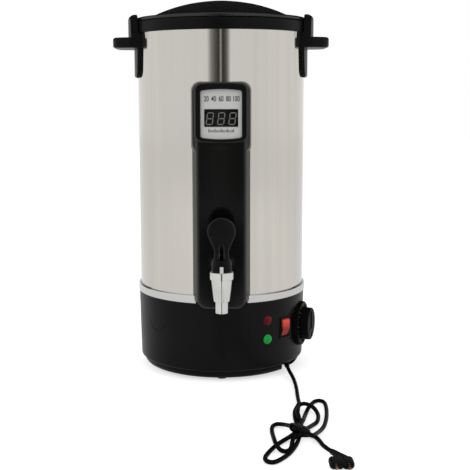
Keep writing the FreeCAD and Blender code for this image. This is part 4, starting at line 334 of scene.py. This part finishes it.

# ---------------------------------------------------------------- finishes

# first and second are the two colours that the mottle drifts between, over cells per metre.
# gloss is the roughness range; edge and depth are in millimetres; grain is the relief's strength.
# above is the colour over the top of a part, with the two heights between which it takes over.
# Two of the settings pale a part's edges towards a lighter grey as a painted highlight: how strongly, and how
# pale.
PLAIN = dict(metal=0.0, level=0.5, cells=14, stretch=(1, 1, 1), detail=3, span=(0.35, 0.75), edge=0.4,
             grain=0.1, grain_cells=900, grain_stretch=(1, 1, 1), depth=0.05, coat=0.0, glow=0.0,
             brushed=0.0, facets=0.0, sheen=0.0, sheen_grey=0.012, above=None, above_metal=None)
RING_GRAIN = (1, 1, 60)
BRUSHED = dict(metal=1.0, cells=5, stretch=(1, 1, 0.6), detail=2, span=(0.3, 0.7), grain_cells=26,
               grain_stretch=RING_GRAIN)
POLISHED = dict(first=(0.66, 0.66, 0.63), second=(0.58, 0.58, 0.56), metal=1.0, gloss=(0.10, 0.16), cells=60,
                edge=0.3, grain=0.02, grain_cells=240)
FINISHES = {
    "brushed_shell": dict(BRUSHED, first=(0.645, 0.618, 0.562), second=(0.578, 0.556, 0.520),
                          gloss=(0.08, 0.11), cells=55, stretch=(1, 1, 0.02), detail=4, edge=0.2, grain=0.05,
                          brushed=0.9),
    "tank_steel": dict(BRUSHED, first=(0.56, 0.55, 0.53), second=(0.50, 0.49, 0.47), gloss=(0.26, 0.36),
                       grain=0.12),
    "bright_trim": dict(BRUSHED, first=(0.64, 0.64, 0.62), second=(0.58, 0.58, 0.57), gloss=(0.20, 0.26),
                        edge=0.8, grain=0.04),
    "tap_chrome": POLISHED,
    "tap_casting": dict(POLISHED, above=(154.4, 154.6, (0.62, 0.62, 0.60)), above_metal=0.0),
    # The stem is near black above 168.5 mm, over the part that shows through the lever's slot.
    "stem_dark_top": dict(POLISHED, gloss=(0.14, 0.20), grain_cells=900,
                        above=(168.5, 168.7, (0.004, 0.004, 0.004))),
    "black_plastic": dict(first=(0.0018, 0.0018, 0.0017), second=(0.0030, 0.0030, 0.0028), gloss=(0.31, 0.42),
                          level=0.10, edge=0.6, grain=0.12, sheen=0.25),
    "panel_black": dict(first=(0.0014, 0.0014, 0.0012), second=(0.0022, 0.0022, 0.0020), gloss=(0.12, 0.17),
                        level=0.4, edge=5.0, grain=0.03, grain_cells=500, sheen=0.5, sheen_grey=0.085),
    "base_black": dict(first=(0.0016, 0.0016, 0.0015), second=(0.0028, 0.0028, 0.0026), gloss=(0.28, 0.38),
                       level=0.11, edge=1.8, grain=0.12, sheen=0.6, sheen_grey=0.05),
    "lid_black": dict(first=(0.0014, 0.0014, 0.0013), second=(0.0024, 0.0024, 0.0022), gloss=(0.24, 0.32),
                      edge=0.9, grain=0.08),
    "knob_black": dict(first=(0.0012, 0.0012, 0.0011), second=(0.0020, 0.0020, 0.0018), gloss=(0.40, 0.52),
                       level=0.04, edge=0.7, grain=0.10),
    "lever_black": dict(first=(0.0014, 0.0014, 0.0012), second=(0.0022, 0.0022, 0.0020), gloss=(0.16, 0.22),
                        edge=1.6, grain=0.03, grain_cells=500, sheen=0.5, sheen_grey=0.035),
    "black_gloss": dict(first=(0.0012, 0.0012, 0.0010), second=(0.0018, 0.0018, 0.0016), gloss=(0.14, 0.20),
                        level=0.4, edge=1.2, grain=0.02, grain_cells=500),
    "silver_plate": dict(first=(0.63, 0.63, 0.61), second=(0.57, 0.57, 0.55), gloss=(0.38, 0.46), metal=0.25,
                         level=0.3, cells=1500, detail=1, grain=0.08, grain_cells=1800, depth=0.03),
    "dark_window": dict(first=(0.0015, 0.0015, 0.0015), second=(0.003, 0.003, 0.003), gloss=(0.06, 0.10),
                        level=0.25, cells=40, grain=0.0, coat=0.2),
    "display_board": dict(first=(0.01, 0.09, 0.03), second=(0.02, 0.14, 0.05), gloss=(0.35, 0.45), cells=300),
    "red_lens": dict(first=(0.16, 0.003, 0.006), second=(0.05, 0.001, 0.003), gloss=(0.18, 0.26), level=0.10,
                     facets=420, coat=0.04, glow=0.06),
    "green_lens": dict(first=(0.004, 0.27, 0.035), second=(0.002, 0.10, 0.012), gloss=(0.18, 0.26),
                       level=0.14, facets=420, coat=0.06, glow=0.36),
    # The rocker's top is painted a lighter red: a painted highlight on its upper facet, where the light
    # falls.
    "rocker_red": dict(first=(0.25, 0.006, 0.005), second=(0.19, 0.004, 0.004), gloss=(0.22, 0.30),
                       level=0.22, cells=90, edge=0.7, grain=0.02, above=(61, 73, (0.78, 0.080, 0.05))),
    "rubber": dict(first=(0.0030, 0.0030, 0.0030), second=(0.0046, 0.0046, 0.0046), gloss=(0.50, 0.66),
                   level=0.12, grain=0.2, grain_cells=1400),
    "silicone": dict(first=(0.42, 0.42, 0.41), second=(0.36, 0.36, 0.35), gloss=(0.40, 0.50), level=0.4,
                     cells=60, grain_cells=700),
    "cord_sheath": dict(first=(0.0016, 0.0016, 0.0016), second=(0.0026, 0.0026, 0.0026), gloss=(0.38, 0.50),
                        level=0.06, edge=0.2, grain=0.12, grain_cells=1600),
    "insulation": dict(first=(0.62, 0.55, 0.36), second=(0.42, 0.36, 0.20), gloss=(0.85, 0.95), level=0.1,
                       cells=240, stretch=(1, 1, 4), detail=6, grain=0.9, grain_cells=420,
                       grain_stretch=(1, 1, 5), depth=1.2),
    "cast_plate": dict(first=(0.50, 0.50, 0.50), second=(0.40, 0.40, 0.40), gloss=(0.42, 0.54), metal=0.9,
                       cells=90, detail=4, grain=0.3, depth=0.15),
    "element_tube": dict(first=(0.22, 0.20, 0.17), second=(0.14, 0.10, 0.09), gloss=(0.30, 0.50), metal=1.0,
                         cells=70, detail=4, grain=0.05),
    "ceramic": dict(first=(0.72, 0.70, 0.64), second=(0.62, 0.60, 0.55), gloss=(0.30, 0.40), level=0.4,
                    cells=120, depth=0.06),
    "screw_steel": dict(first=(0.58, 0.59, 0.60), second=(0.46, 0.47, 0.48), gloss=(0.22, 0.38), metal=1.0,
                        cells=400, edge=0.2, grain=0.04),
    "brass": dict(first=(0.62, 0.50, 0.30), second=(0.52, 0.40, 0.22), gloss=(0.20, 0.36), metal=1.0,
                  cells=200, stretch=(1, 1, 8), edge=0.2, grain=0.04),
    "ink": dict(first=(0.010, 0.010, 0.010), second=(0.016, 0.016, 0.016), gloss=(0.45, 0.55), level=0.2,
                cells=900, edge=0.0, grain=0.0),
    "segment_grey": dict(first=(0.17, 0.17, 0.16), second=(0.13, 0.13, 0.12), gloss=(0.36, 0.44), level=0.2,
                         cells=700, edge=0.0, grain=0.0),
    "white_print": dict(first=(0.16, 0.16, 0.155), second=(0.12, 0.12, 0.115), gloss=(0.45, 0.55), level=0.3,
                        cells=900, edge=0.0, grain=0.0),
}
# Parts with a finish of their own. Every other part takes the finish that its slot names.
NODE_FINISHES = {"front_panel": "panel_black", "base_housing": "base_black", "lid_cover": "lid_black",
                 "thermostat_knob": "knob_black", "thermostat_bezel": "knob_black",
                 "tap_body": "tap_casting", "tap_lever": "lever_black", "tap_stem": "stem_dark_top"}
COAT_ROUGHNESS = 0.08
SHEEN_GAIN = 4
BRUSH_TURN = 0.25


def make_finish(name, look):
    look = dict(PLAIN, **look)
    made = bpy.data.materials.new(name)
    made.use_nodes = True
    tree = made.node_tree
    shader = tree.nodes["Principled BSDF"]
    fixed = {"Metallic": look["metal"], "Specular IOR Level": look["level"], "Coat Weight": look["coat"],
             "Coat Roughness": COAT_ROUGHNESS, "Emission Strength": look["glow"]}
    for socket, value in fixed.items():
        shader.inputs[socket].default_value = value
    first, second = (*look["first"], 1), (*look["second"], 1)
    for socket in ("Base Color", "Emission Color"):
        shader.inputs[socket].default_value = first

    def effect(kind, outputs, **values):
        part = tree.nodes.new("ShaderNodeGroup")
        part.node_tree = EFFECTS[kind]
        for label, value in values.items():
            part.inputs[label].default_value = value
        for output, socket in outputs.items():
            tree.links.new(part.outputs[output], shader.inputs[socket])
        return part

    effect("mottle", {"Colour": "Base Color", "Roughness": "Roughness"}, Cells=look["cells"],
           Stretch=look["stretch"], Detail=look["detail"], Low=look["span"][0], High=look["span"][1],
           First=first, Second=second, Smooth=look["gloss"][0], Rough=look["gloss"][1])
    if look["facets"]:
        effect("facets", {"Colour": "Base Color", "Normal": "Normal"}, Cells=look["facets"],
               First=first, Second=second)
    elif look["grain"]:
        effect("grain", {"Normal": "Normal"}, Cells=look["grain_cells"], Stretch=look["grain_stretch"],
               Edge=look["edge"] * MM, Strength=look["grain"], Depth=look["depth"] * MM)
    # Painted highlight: the edges are paled towards a lighter grey, where light would catch them.
    if look["sheen"]:
        sheen_mask = effect("edge_sheen", {}, Reach=look["edge"] * MM, Amount=SHEEN_GAIN * look["sheen"])
        sheen_grey = tree.nodes.new("ShaderNodeMix")
        sheen_grey.data_type = "RGBA"
        sheen_grey.inputs["B"].default_value = (look["sheen_grey"], look["sheen_grey"], look["sheen_grey"], 1)
        tree.links.new(sheen_mask.outputs["Sheen"], sheen_grey.inputs["Factor"])
        tree.links.new(shader.inputs["Base Color"].links[0].from_socket, sheen_grey.inputs["A"])
        tree.links.new(sheen_grey.outputs["Result"], shader.inputs["Base Color"])
    if look["above"]:
        low, high, colour = look["above"]
        heights = {"Low": low * MM, "High": high * MM}
        plain = shader.inputs["Base Color"].links[0].from_socket
        blend = effect("height_blend", {"Colour": "Base Color"}, Above=(*colour, 1), **heights)
        tree.links.new(plain, blend.inputs["Below"])
        if look["above_metal"] is not None:
            below, above = look["metal"], look["above_metal"]
            effect("height_blend", {"Colour": "Metallic"}, Below=(below, below, below, 1),
                   Above=(above, above, above, 1), **heights)
    if look["brushed"]:
        shader.inputs["Anisotropic"].default_value = look["brushed"]
        shader.inputs["Anisotropic Rotation"].default_value = BRUSH_TURN
        tangent = tree.nodes.new("ShaderNodeTangent")
        tangent.direction_type = "RADIAL"
        tangent.axis = "Z"
        tree.links.new(tangent.outputs["Tangent"], shader.inputs["Tangent"])
    return made


finishes = {name: make_finish(name, look) for name, look in FINISHES.items()}


def dress(piece, finish):
    piece.data.materials.clear()
    piece.data.materials.append(finishes[finish])
    return piece


for entry in frame["record"]["subparts"]:
    dress(nodes[entry["node"]], NODE_FINISHES.get(entry["node"], entry["material_slot"]))
dress(cord, "cord_sheath")
dress(tie, "rubber")

# ---------------------------------------------------------------- display

DIGIT_X = (-13.7, 0.1, 13.8)
DIGIT_Z = 335.3
DIGIT_HALF_WIDE = 3.7
DIGIT_HALF_HIGH = 7.0
SEGMENT_HALF = 0.62
SLANT = math.tan(math.radians(8))
WINDOW_FRONT = -120.6
LABEL_FRONT = -119.8
PRINT_THICK = 0.08


def box_mark(bm, place, size):
    bmesh.ops.create_cube(bm, size=1, matrix=place @ Matrix.Diagonal((*size, 1)))


def build_segment(bm, start, end):
    """A bar between two points, drawn a little past them so that the corners close."""
    along, middle = end - start, (start + end) / 2
    spot = Matrix.Translation((middle.x, WINDOW_FRONT - PRINT_THICK / 2, middle.y))
    turn = Matrix.Rotation(-math.atan2(along.y, along.x), 4, "Y")
    box_mark(bm, spot @ turn, (along.length + 2 * SEGMENT_HALF, PRINT_THICK, 2 * SEGMENT_HALF))


def build_digits(bm):
    """Three unlit seven-segment figures."""
    for centre in DIGIT_X:
        levels = [[Vector((centre + side * DIGIT_HALF_WIDE + rise * SLANT, DIGIT_Z + rise))
                   for side in (-1, 1)] for rise in (DIGIT_HALF_HIGH, 0, -DIGIT_HALF_HIGH)]
        for left, right in levels:
            build_segment(bm, left, right)
        for upper, lower in zip(levels, levels[1:]):
            for side in (0, 1):
                build_segment(bm, lower[side], upper[side])


SCALE_FIGURES = ("20", "40", "60", "80", "100")
FIGURES_Z = 356.2
FIGURES_REACH = 18.0
FIGURE_SIZE = 9.2
FIGURE_SQUEEZE = 0.66
FIGURE_SWELL = 0.13


def build_figures(bm):
    """The printed scale's plain numbers, above the window."""
    for index, word in enumerate(SCALE_FIGURES):
        data = bpy.data.curves.new("figure", "FONT")
        data.body = word
        data.size = FIGURE_SIZE
        data.align_x = "CENTER"
        data.offset = FIGURE_SWELL
        data.extrude = PRINT_THICK / 2
        shape = bpy.data.objects.new("figure", data)
        mesh = bpy.data.meshes.new_from_object(shape)
        x = (2 * index / (len(SCALE_FIGURES) - 1) - 1) * FIGURES_REACH
        place = Matrix.Translation((x, LABEL_FRONT - PRINT_THICK / 2, FIGURES_Z))
        upright = place @ Matrix.Rotation(math.pi / 2, 4, "X")
        mesh.transform(upright @ Matrix.Diagonal((FIGURE_SQUEEZE, 1, 1, 1)))
        bm.from_mesh(mesh)
        bpy.data.objects.remove(shape)
        bpy.data.curves.remove(data)
        bpy.data.meshes.remove(mesh)


LABEL_TICKS = 21
LABEL_TICK_STEP = 1.5
LABEL_TICK_GROUP = 5
LABEL_TICKS_Z = 318.6
# A tick's width and height.
LONG_LABEL_TICK = (0.95, 4.2)
LABEL_TICK = (0.7, 2.8)


def build_label_ticks(bm):
    """A small graduation under the window."""
    for step in range(LABEL_TICKS):
        wide, tall = LABEL_TICK if step % LABEL_TICK_GROUP else LONG_LABEL_TICK
        x = (step - LABEL_TICKS // 2) * LABEL_TICK_STEP
        spot = Matrix.Translation((x, LABEL_FRONT - PRINT_THICK / 2, LABEL_TICKS_Z + tall / 2))
        box_mark(bm, spot, (wide, PRINT_THICK, tall))


dress(mesh_piece("display_digits", build_digits, slot="dark_window"), "segment_grey")
dress(mesh_piece("label_figures", build_figures, slot="black_plastic"), "ink")
dress(mesh_piece("label_ticks", build_label_ticks, slot="black_plastic"), "ink")

# ---------------------------------------------------------------- dial

DIAL_AZIMUTH = math.radians(71)
DIAL_HEIGHT = 60.0
DIAL_FACE = 116.0
KNOB_FACE = 128.5
DIAL_TICKS = 19
DIAL_TICK_STEP = 15
DIAL_TICK_GROUP = 3
OFF_ANGLE = 225.0
# The inner radius, outer radius and width of a mark on the dial or knob.
LONG_DIAL_TICK = (23.4, 27.6, 0.8)
DIAL_TICK = (24.6, 27.0, 0.5)
POINTER = (8, 19, 1.4)


def on_side(azimuth, height, radius):
    """The frame of a flat drawing (x right, z up, front at -y) set against the urn's side."""
    out = Vector((math.sin(azimuth), -math.cos(azimuth), 0)) * radius
    return Matrix.Translation(out + Vector((0, 0, height))) @ Matrix.Rotation(azimuth, 4, "Z")


def radial_mark(bm, degrees, inner, outer, width, face):
    turn = Matrix.Rotation(-math.radians(degrees), 4, "Y")
    middle = Matrix.Translation(((inner + outer) / 2, -PRINT_THICK / 2, 0))
    place = on_side(DIAL_AZIMUTH, DIAL_HEIGHT, face) @ turn @ middle
    box_mark(bm, place, (outer - inner, PRINT_THICK, width))


def build_dial_ticks(bm):
    """The dial's ticks, over the whole turn of the knob, longer at every third."""
    for step in range(DIAL_TICKS):
        tick = DIAL_TICK if step % DIAL_TICK_GROUP else LONG_DIAL_TICK
        radial_mark(bm, OFF_ANGLE - step * DIAL_TICK_STEP, *tick, DIAL_FACE)


def build_pointer(bm):
    """The line on the knob's face, at the off end of the scale."""
    radial_mark(bm, OFF_ANGLE, *POINTER, KNOB_FACE)


dress(mesh_piece("dial_ticks", build_dial_ticks, slot="silver_plate"), "white_print")
dress(mesh_piece("knob_pointer", build_pointer, slot="silver_plate", body="knob"), "white_print")

# ---------------------------------------------------------------- tap spring

SPRING_WIRE = 0.5
SPRING_TURNS = 6
SPRING_STEPS = 20  # in each turn


def build_spring(bm):
    """The tap's closing spring, wound up from the stem's shoulder."""
    foot, top = [Vector(corner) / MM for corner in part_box("tap_spring")]
    middle = (foot + top) / 2
    start = Vector((top.x - SPRING_WIRE, middle.y, foot.z + SPRING_WIRE))
    bmesh.ops.create_circle(bm, segments=10, radius=SPRING_WIRE,
                            matrix=Matrix.Translation(start) @ Matrix.Rotation(math.pi / 2, 4, "X"))
    steps = SPRING_TURNS * SPRING_STEPS
    rise = (top.z - foot.z - 2 * SPRING_WIRE) / steps
    bmesh.ops.spin(bm, geom=bm.edges[:], cent=(middle.x, middle.y, 0), axis=(0, 0, 1), dvec=(0, 0, rise),
                   angle=math.tau * SPRING_TURNS, steps=steps)
    bmesh.ops.holes_fill(bm, edges=bm.edges, sides=0)


def make_spring():
    """The closing spring in place of the part's own, on a mesh of its own; the real spring shortens against
    the bonnet's roof as the stem rises.
    """
    spring = mesh_piece("closing_spring", build_spring, slot="screw_steel", smooth=True)
    dress(spring, "screw_steel")
    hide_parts("tap_spring")
    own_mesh(spring)


make_spring()

# ---------------------------------------------------------------- moulded blank

BLANK_AZIMUTH = math.radians(-49.5)
BLANK_HEIGHT = 76.0
BLANK_RADIUS = 16.5
BLANK_BEAD = 0.42
BLANK_STEPS = 72
# How far the ring is set in from the base's widest radius. The base widens upwards over it.
BLANK_INSET = 1.0
WELD = 0.001


def build_blank(bm):
    """The faint moulded outline of an unused opening, bent round the base."""
    foot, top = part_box("base_housing")
    reach = (top[0] - foot[0]) / 2 / MM - BLANK_INSET
    bmesh.ops.create_circle(bm, segments=8, radius=BLANK_BEAD,
                            matrix=Matrix.Translation((BLANK_RADIUS, 0, 0)))
    bmesh.ops.spin(bm, geom=bm.edges[:], cent=(0, 0, 0), axis=(0, 1, 0), angle=math.tau, steps=BLANK_STEPS,
                   use_merge=True)
    bmesh.ops.remove_doubles(bm, verts=bm.verts, dist=WELD)
    for vert in bm.verts:
        seat = on_side(BLANK_AZIMUTH + vert.co.x / reach, BLANK_HEIGHT, reach - vert.co.y)
        vert.co = seat @ Vector((0, 0, vert.co.z))


dress(mesh_piece("base_blank", build_blank, slot="black_plastic", smooth=True), "knob_black")

# ---------------------------------------------------------------- studio

FLOOR_REACH = 6000
FLOOR_DROP = 0.4
FLOOR_PAINT = (0.62, 0.62, 0.62)
FLOOR_SHOWN = 0.62
FLOOR_MIRRORED = 0.27
CARD_Y = -1750.0
CARD_HALF = 600.0
CARD_FOOT = 20
CARD_TOP = 1500
CARD_BROWN = (0.022, 0.017, 0.010)
CARD_DARK = (0.012, 0.012, 0.012)
CARD_ROUGHNESS = 0.9
# How much the dark card in front of the urn lets through, by millimetres from its middle.
CARD_CLEAR = ((-570, 1.0), (-480, 0.62), (-400, 0.30), (-250, 0.12), (-62, 0.0), (-36, 0.36), (16, 0.36),
              (42, 0.0), (170, 0.08), (270, 0.28), (340, 0.7), (400, 1.0))
# The dark card on the floor before the urn: its half width at each distance.
FLOOR_CARD = ((-190, 5), (-480, 16), (-700, 64), (-1750, 190))
FLOOR_CARD_Z = 1.5
# The dark wall behind the urn, and the strip of ceiling that meets it.
BACK_HALF = 5000
BACK_FOOT = 800.0
CEILING_Y = 2600.0
CEILING_Z = 3200.0
CEILING_EDGE = 1000.0


def stage_material(name, colour, shown, mirrored):
    """Diffuse paint, plus a glow that the camera sees and a weaker one for mirror and glass rays."""
    made = bpy.data.materials.new(name)
    made.use_nodes = True
    tree = made.node_tree
    tree.nodes.clear()
    path = tree.nodes.new("ShaderNodeLightPath")
    paint = tree.nodes.new("ShaderNodeBsdfDiffuse")
    paint.inputs["Color"].default_value = (*colour, 1)
    strength = None
    rays = {"Is Camera Ray": shown, "Is Glossy Ray": mirrored, "Is Transmission Ray": mirrored}
    for ray, amount in rays.items():
        part = tree.nodes.new("ShaderNodeMath")
        part.operation = "MULTIPLY_ADD"
        part.inputs[1].default_value = amount
        part.inputs[2].default_value = 0.0
        tree.links.new(path.outputs[ray], part.inputs[0])
        if strength is not None:
            tree.links.new(strength, part.inputs[2])
        strength = part.outputs[0]
    glow = tree.nodes.new("ShaderNodeEmission")
    both = tree.nodes.new("ShaderNodeAddShader")
    out = tree.nodes.new("ShaderNodeOutputMaterial")
    tree.links.new(strength, glow.inputs["Strength"])
    tree.links.new(paint.outputs[0], both.inputs[0])
    tree.links.new(glow.outputs[0], both.inputs[1])
    tree.links.new(both.outputs[0], out.inputs["Surface"])
    return made


def card_material(name, colour, clear=None):
    """Dark paint, which may thin out sideways by a list of places and clearness."""
    made = bpy.data.materials.new(name)
    made.use_nodes = True
    tree = made.node_tree
    paint = tree.nodes["Principled BSDF"]
    paint.inputs["Base Color"].default_value = (*colour, 1)
    paint.inputs["Roughness"].default_value = CARD_ROUGHNESS
    if clear is None:
        return made
    place = tree.nodes.new("ShaderNodeTexCoord")
    parts = tree.nodes.new("ShaderNodeSeparateXYZ")
    across = tree.nodes.new("ShaderNodeMapRange")
    across.inputs["From Min"].default_value = -CARD_HALF * MM
    across.inputs["From Max"].default_value = CARD_HALF * MM
    ramp = tree.nodes.new("ShaderNodeValToRGB")
    while len(ramp.color_ramp.elements) < len(clear):
        ramp.color_ramp.elements.new(0.5)
    for stop, (x, share) in zip(ramp.color_ramp.elements, clear):
        stop.position = (x + CARD_HALF) / (2 * CARD_HALF)
        stop.color = (share, share, share, 1)
    through = tree.nodes.new("ShaderNodeBsdfTransparent")
    both = tree.nodes.new("ShaderNodeMixShader")
    tree.links.new(place.outputs["Object"], parts.inputs[0])
    tree.links.new(parts.outputs["X"], across.inputs["Value"])
    tree.links.new(across.outputs["Result"], ramp.inputs["Fac"])
    tree.links.new(ramp.outputs["Color"], both.inputs["Fac"])
    tree.links.new(paint.outputs["BSDF"], both.inputs[1])
    tree.links.new(through.outputs["BSDF"], both.inputs[2])
    tree.links.new(both.outputs["Shader"], tree.nodes["Material Output"].inputs["Surface"])
    return made


def make_card(name, corners, material):
    """A card that only mirrors see."""
    card = mesh_piece(name, lambda bm: bm.faces.new([bm.verts.new(corner) for corner in corners]))
    card.data.materials.append(material)
    card.visible_camera = False
    card.visible_diffuse = False
    card.visible_shadow = False


def make_floor():
    floor = mesh_piece("floor", lambda bm: bmesh.ops.create_grid(bm, x_segments=1, y_segments=1,
                                                                 size=FLOOR_REACH))
    floor.location.z = -FLOOR_DROP * MM
    floor.data.materials.append(stage_material("floor_pale", FLOOR_PAINT, FLOOR_SHOWN, FLOOR_MIRRORED))


def upright_card(half, y, foot, top):
    return [(-half, y, foot), (half, y, foot), (half, y, top), (-half, y, top)]


def make_cards():
    """Dark surroundings for the steel and the glossy black to mirror."""
    brown = card_material("card_brown", CARD_BROWN, CARD_CLEAR)
    make_card("front_card", upright_card(CARD_HALF, CARD_Y, CARD_FOOT, CARD_TOP), brown)
    dark = card_material("card_dark", CARD_DARK)
    right = [(half, y, FLOOR_CARD_Z) for y, half in FLOOR_CARD]
    left = [(-half, y, z) for half, y, z in reversed(right)]
    make_card("floor_card", right + left, dark)
    make_card("back_card", upright_card(BACK_HALF, CEILING_Y, BACK_FOOT, CEILING_Z), dark)
    make_card("ceiling_card", [(-BACK_HALF, CEILING_EDGE, CEILING_Z), (BACK_HALF, CEILING_EDGE, CEILING_Z),
                               (BACK_HALF, CEILING_Y, CEILING_Z), (-BACK_HALF, CEILING_Y, CEILING_Z)], dark)


WORLD_LIGHT = 0.92
WORLD_SHOWN = 1.0


def make_world():
    """White light all round, a little weaker than the white that the camera sees."""
    world = bpy.data.worlds.new("studio")
    world.use_nodes = True
    background = world.node_tree.nodes["Background"]
    path = world.node_tree.nodes.new("ShaderNodeLightPath")
    level = world.node_tree.nodes.new("ShaderNodeMapRange")
    level.inputs["To Min"].default_value = WORLD_LIGHT
    level.inputs["To Max"].default_value = WORLD_SHOWN
    background.inputs["Color"].default_value = (1, 1, 1, 1)
    world.node_tree.links.new(path.outputs["Is Camera Ray"], level.inputs["Value"])
    world.node_tree.links.new(level.outputs["Result"], background.inputs["Strength"])
    bpy.context.scene.world = world


LAMP_SIZE = 1200
LAMP_TARGET = (0, 0, 200)
KEY_PLACE = (-1500, -1500, 1700)
KEY_WATTS = 9
FILL_PLACE = (1700, -1200, 1200)
FILL_WATTS = 5


def add_lamp(name, place, watts):
    """A soft square lamp aimed at the urn."""
    data = bpy.data.lights.new(name, "AREA")
    data.size = LAMP_SIZE * MM
    data.energy = watts
    lamp = bpy.data.objects.new(name, data)
    away = (Vector(LAMP_TARGET) - Vector(place)).to_track_quat("-Z", "Y")
    lamp.matrix_world = Matrix.Translation(Vector(place) * MM) @ away.to_matrix().to_4x4()
    lamp.visible_glossy = False
    bpy.context.scene.collection.objects.link(lamp)


make_floor()
make_cards()
make_world()
add_lamp("lamp_key", KEY_PLACE, KEY_WATTS)
add_lamp("lamp_fill", FILL_PLACE, FILL_WATTS)
bpy.context.scene.view_settings.view_transform = "Standard"
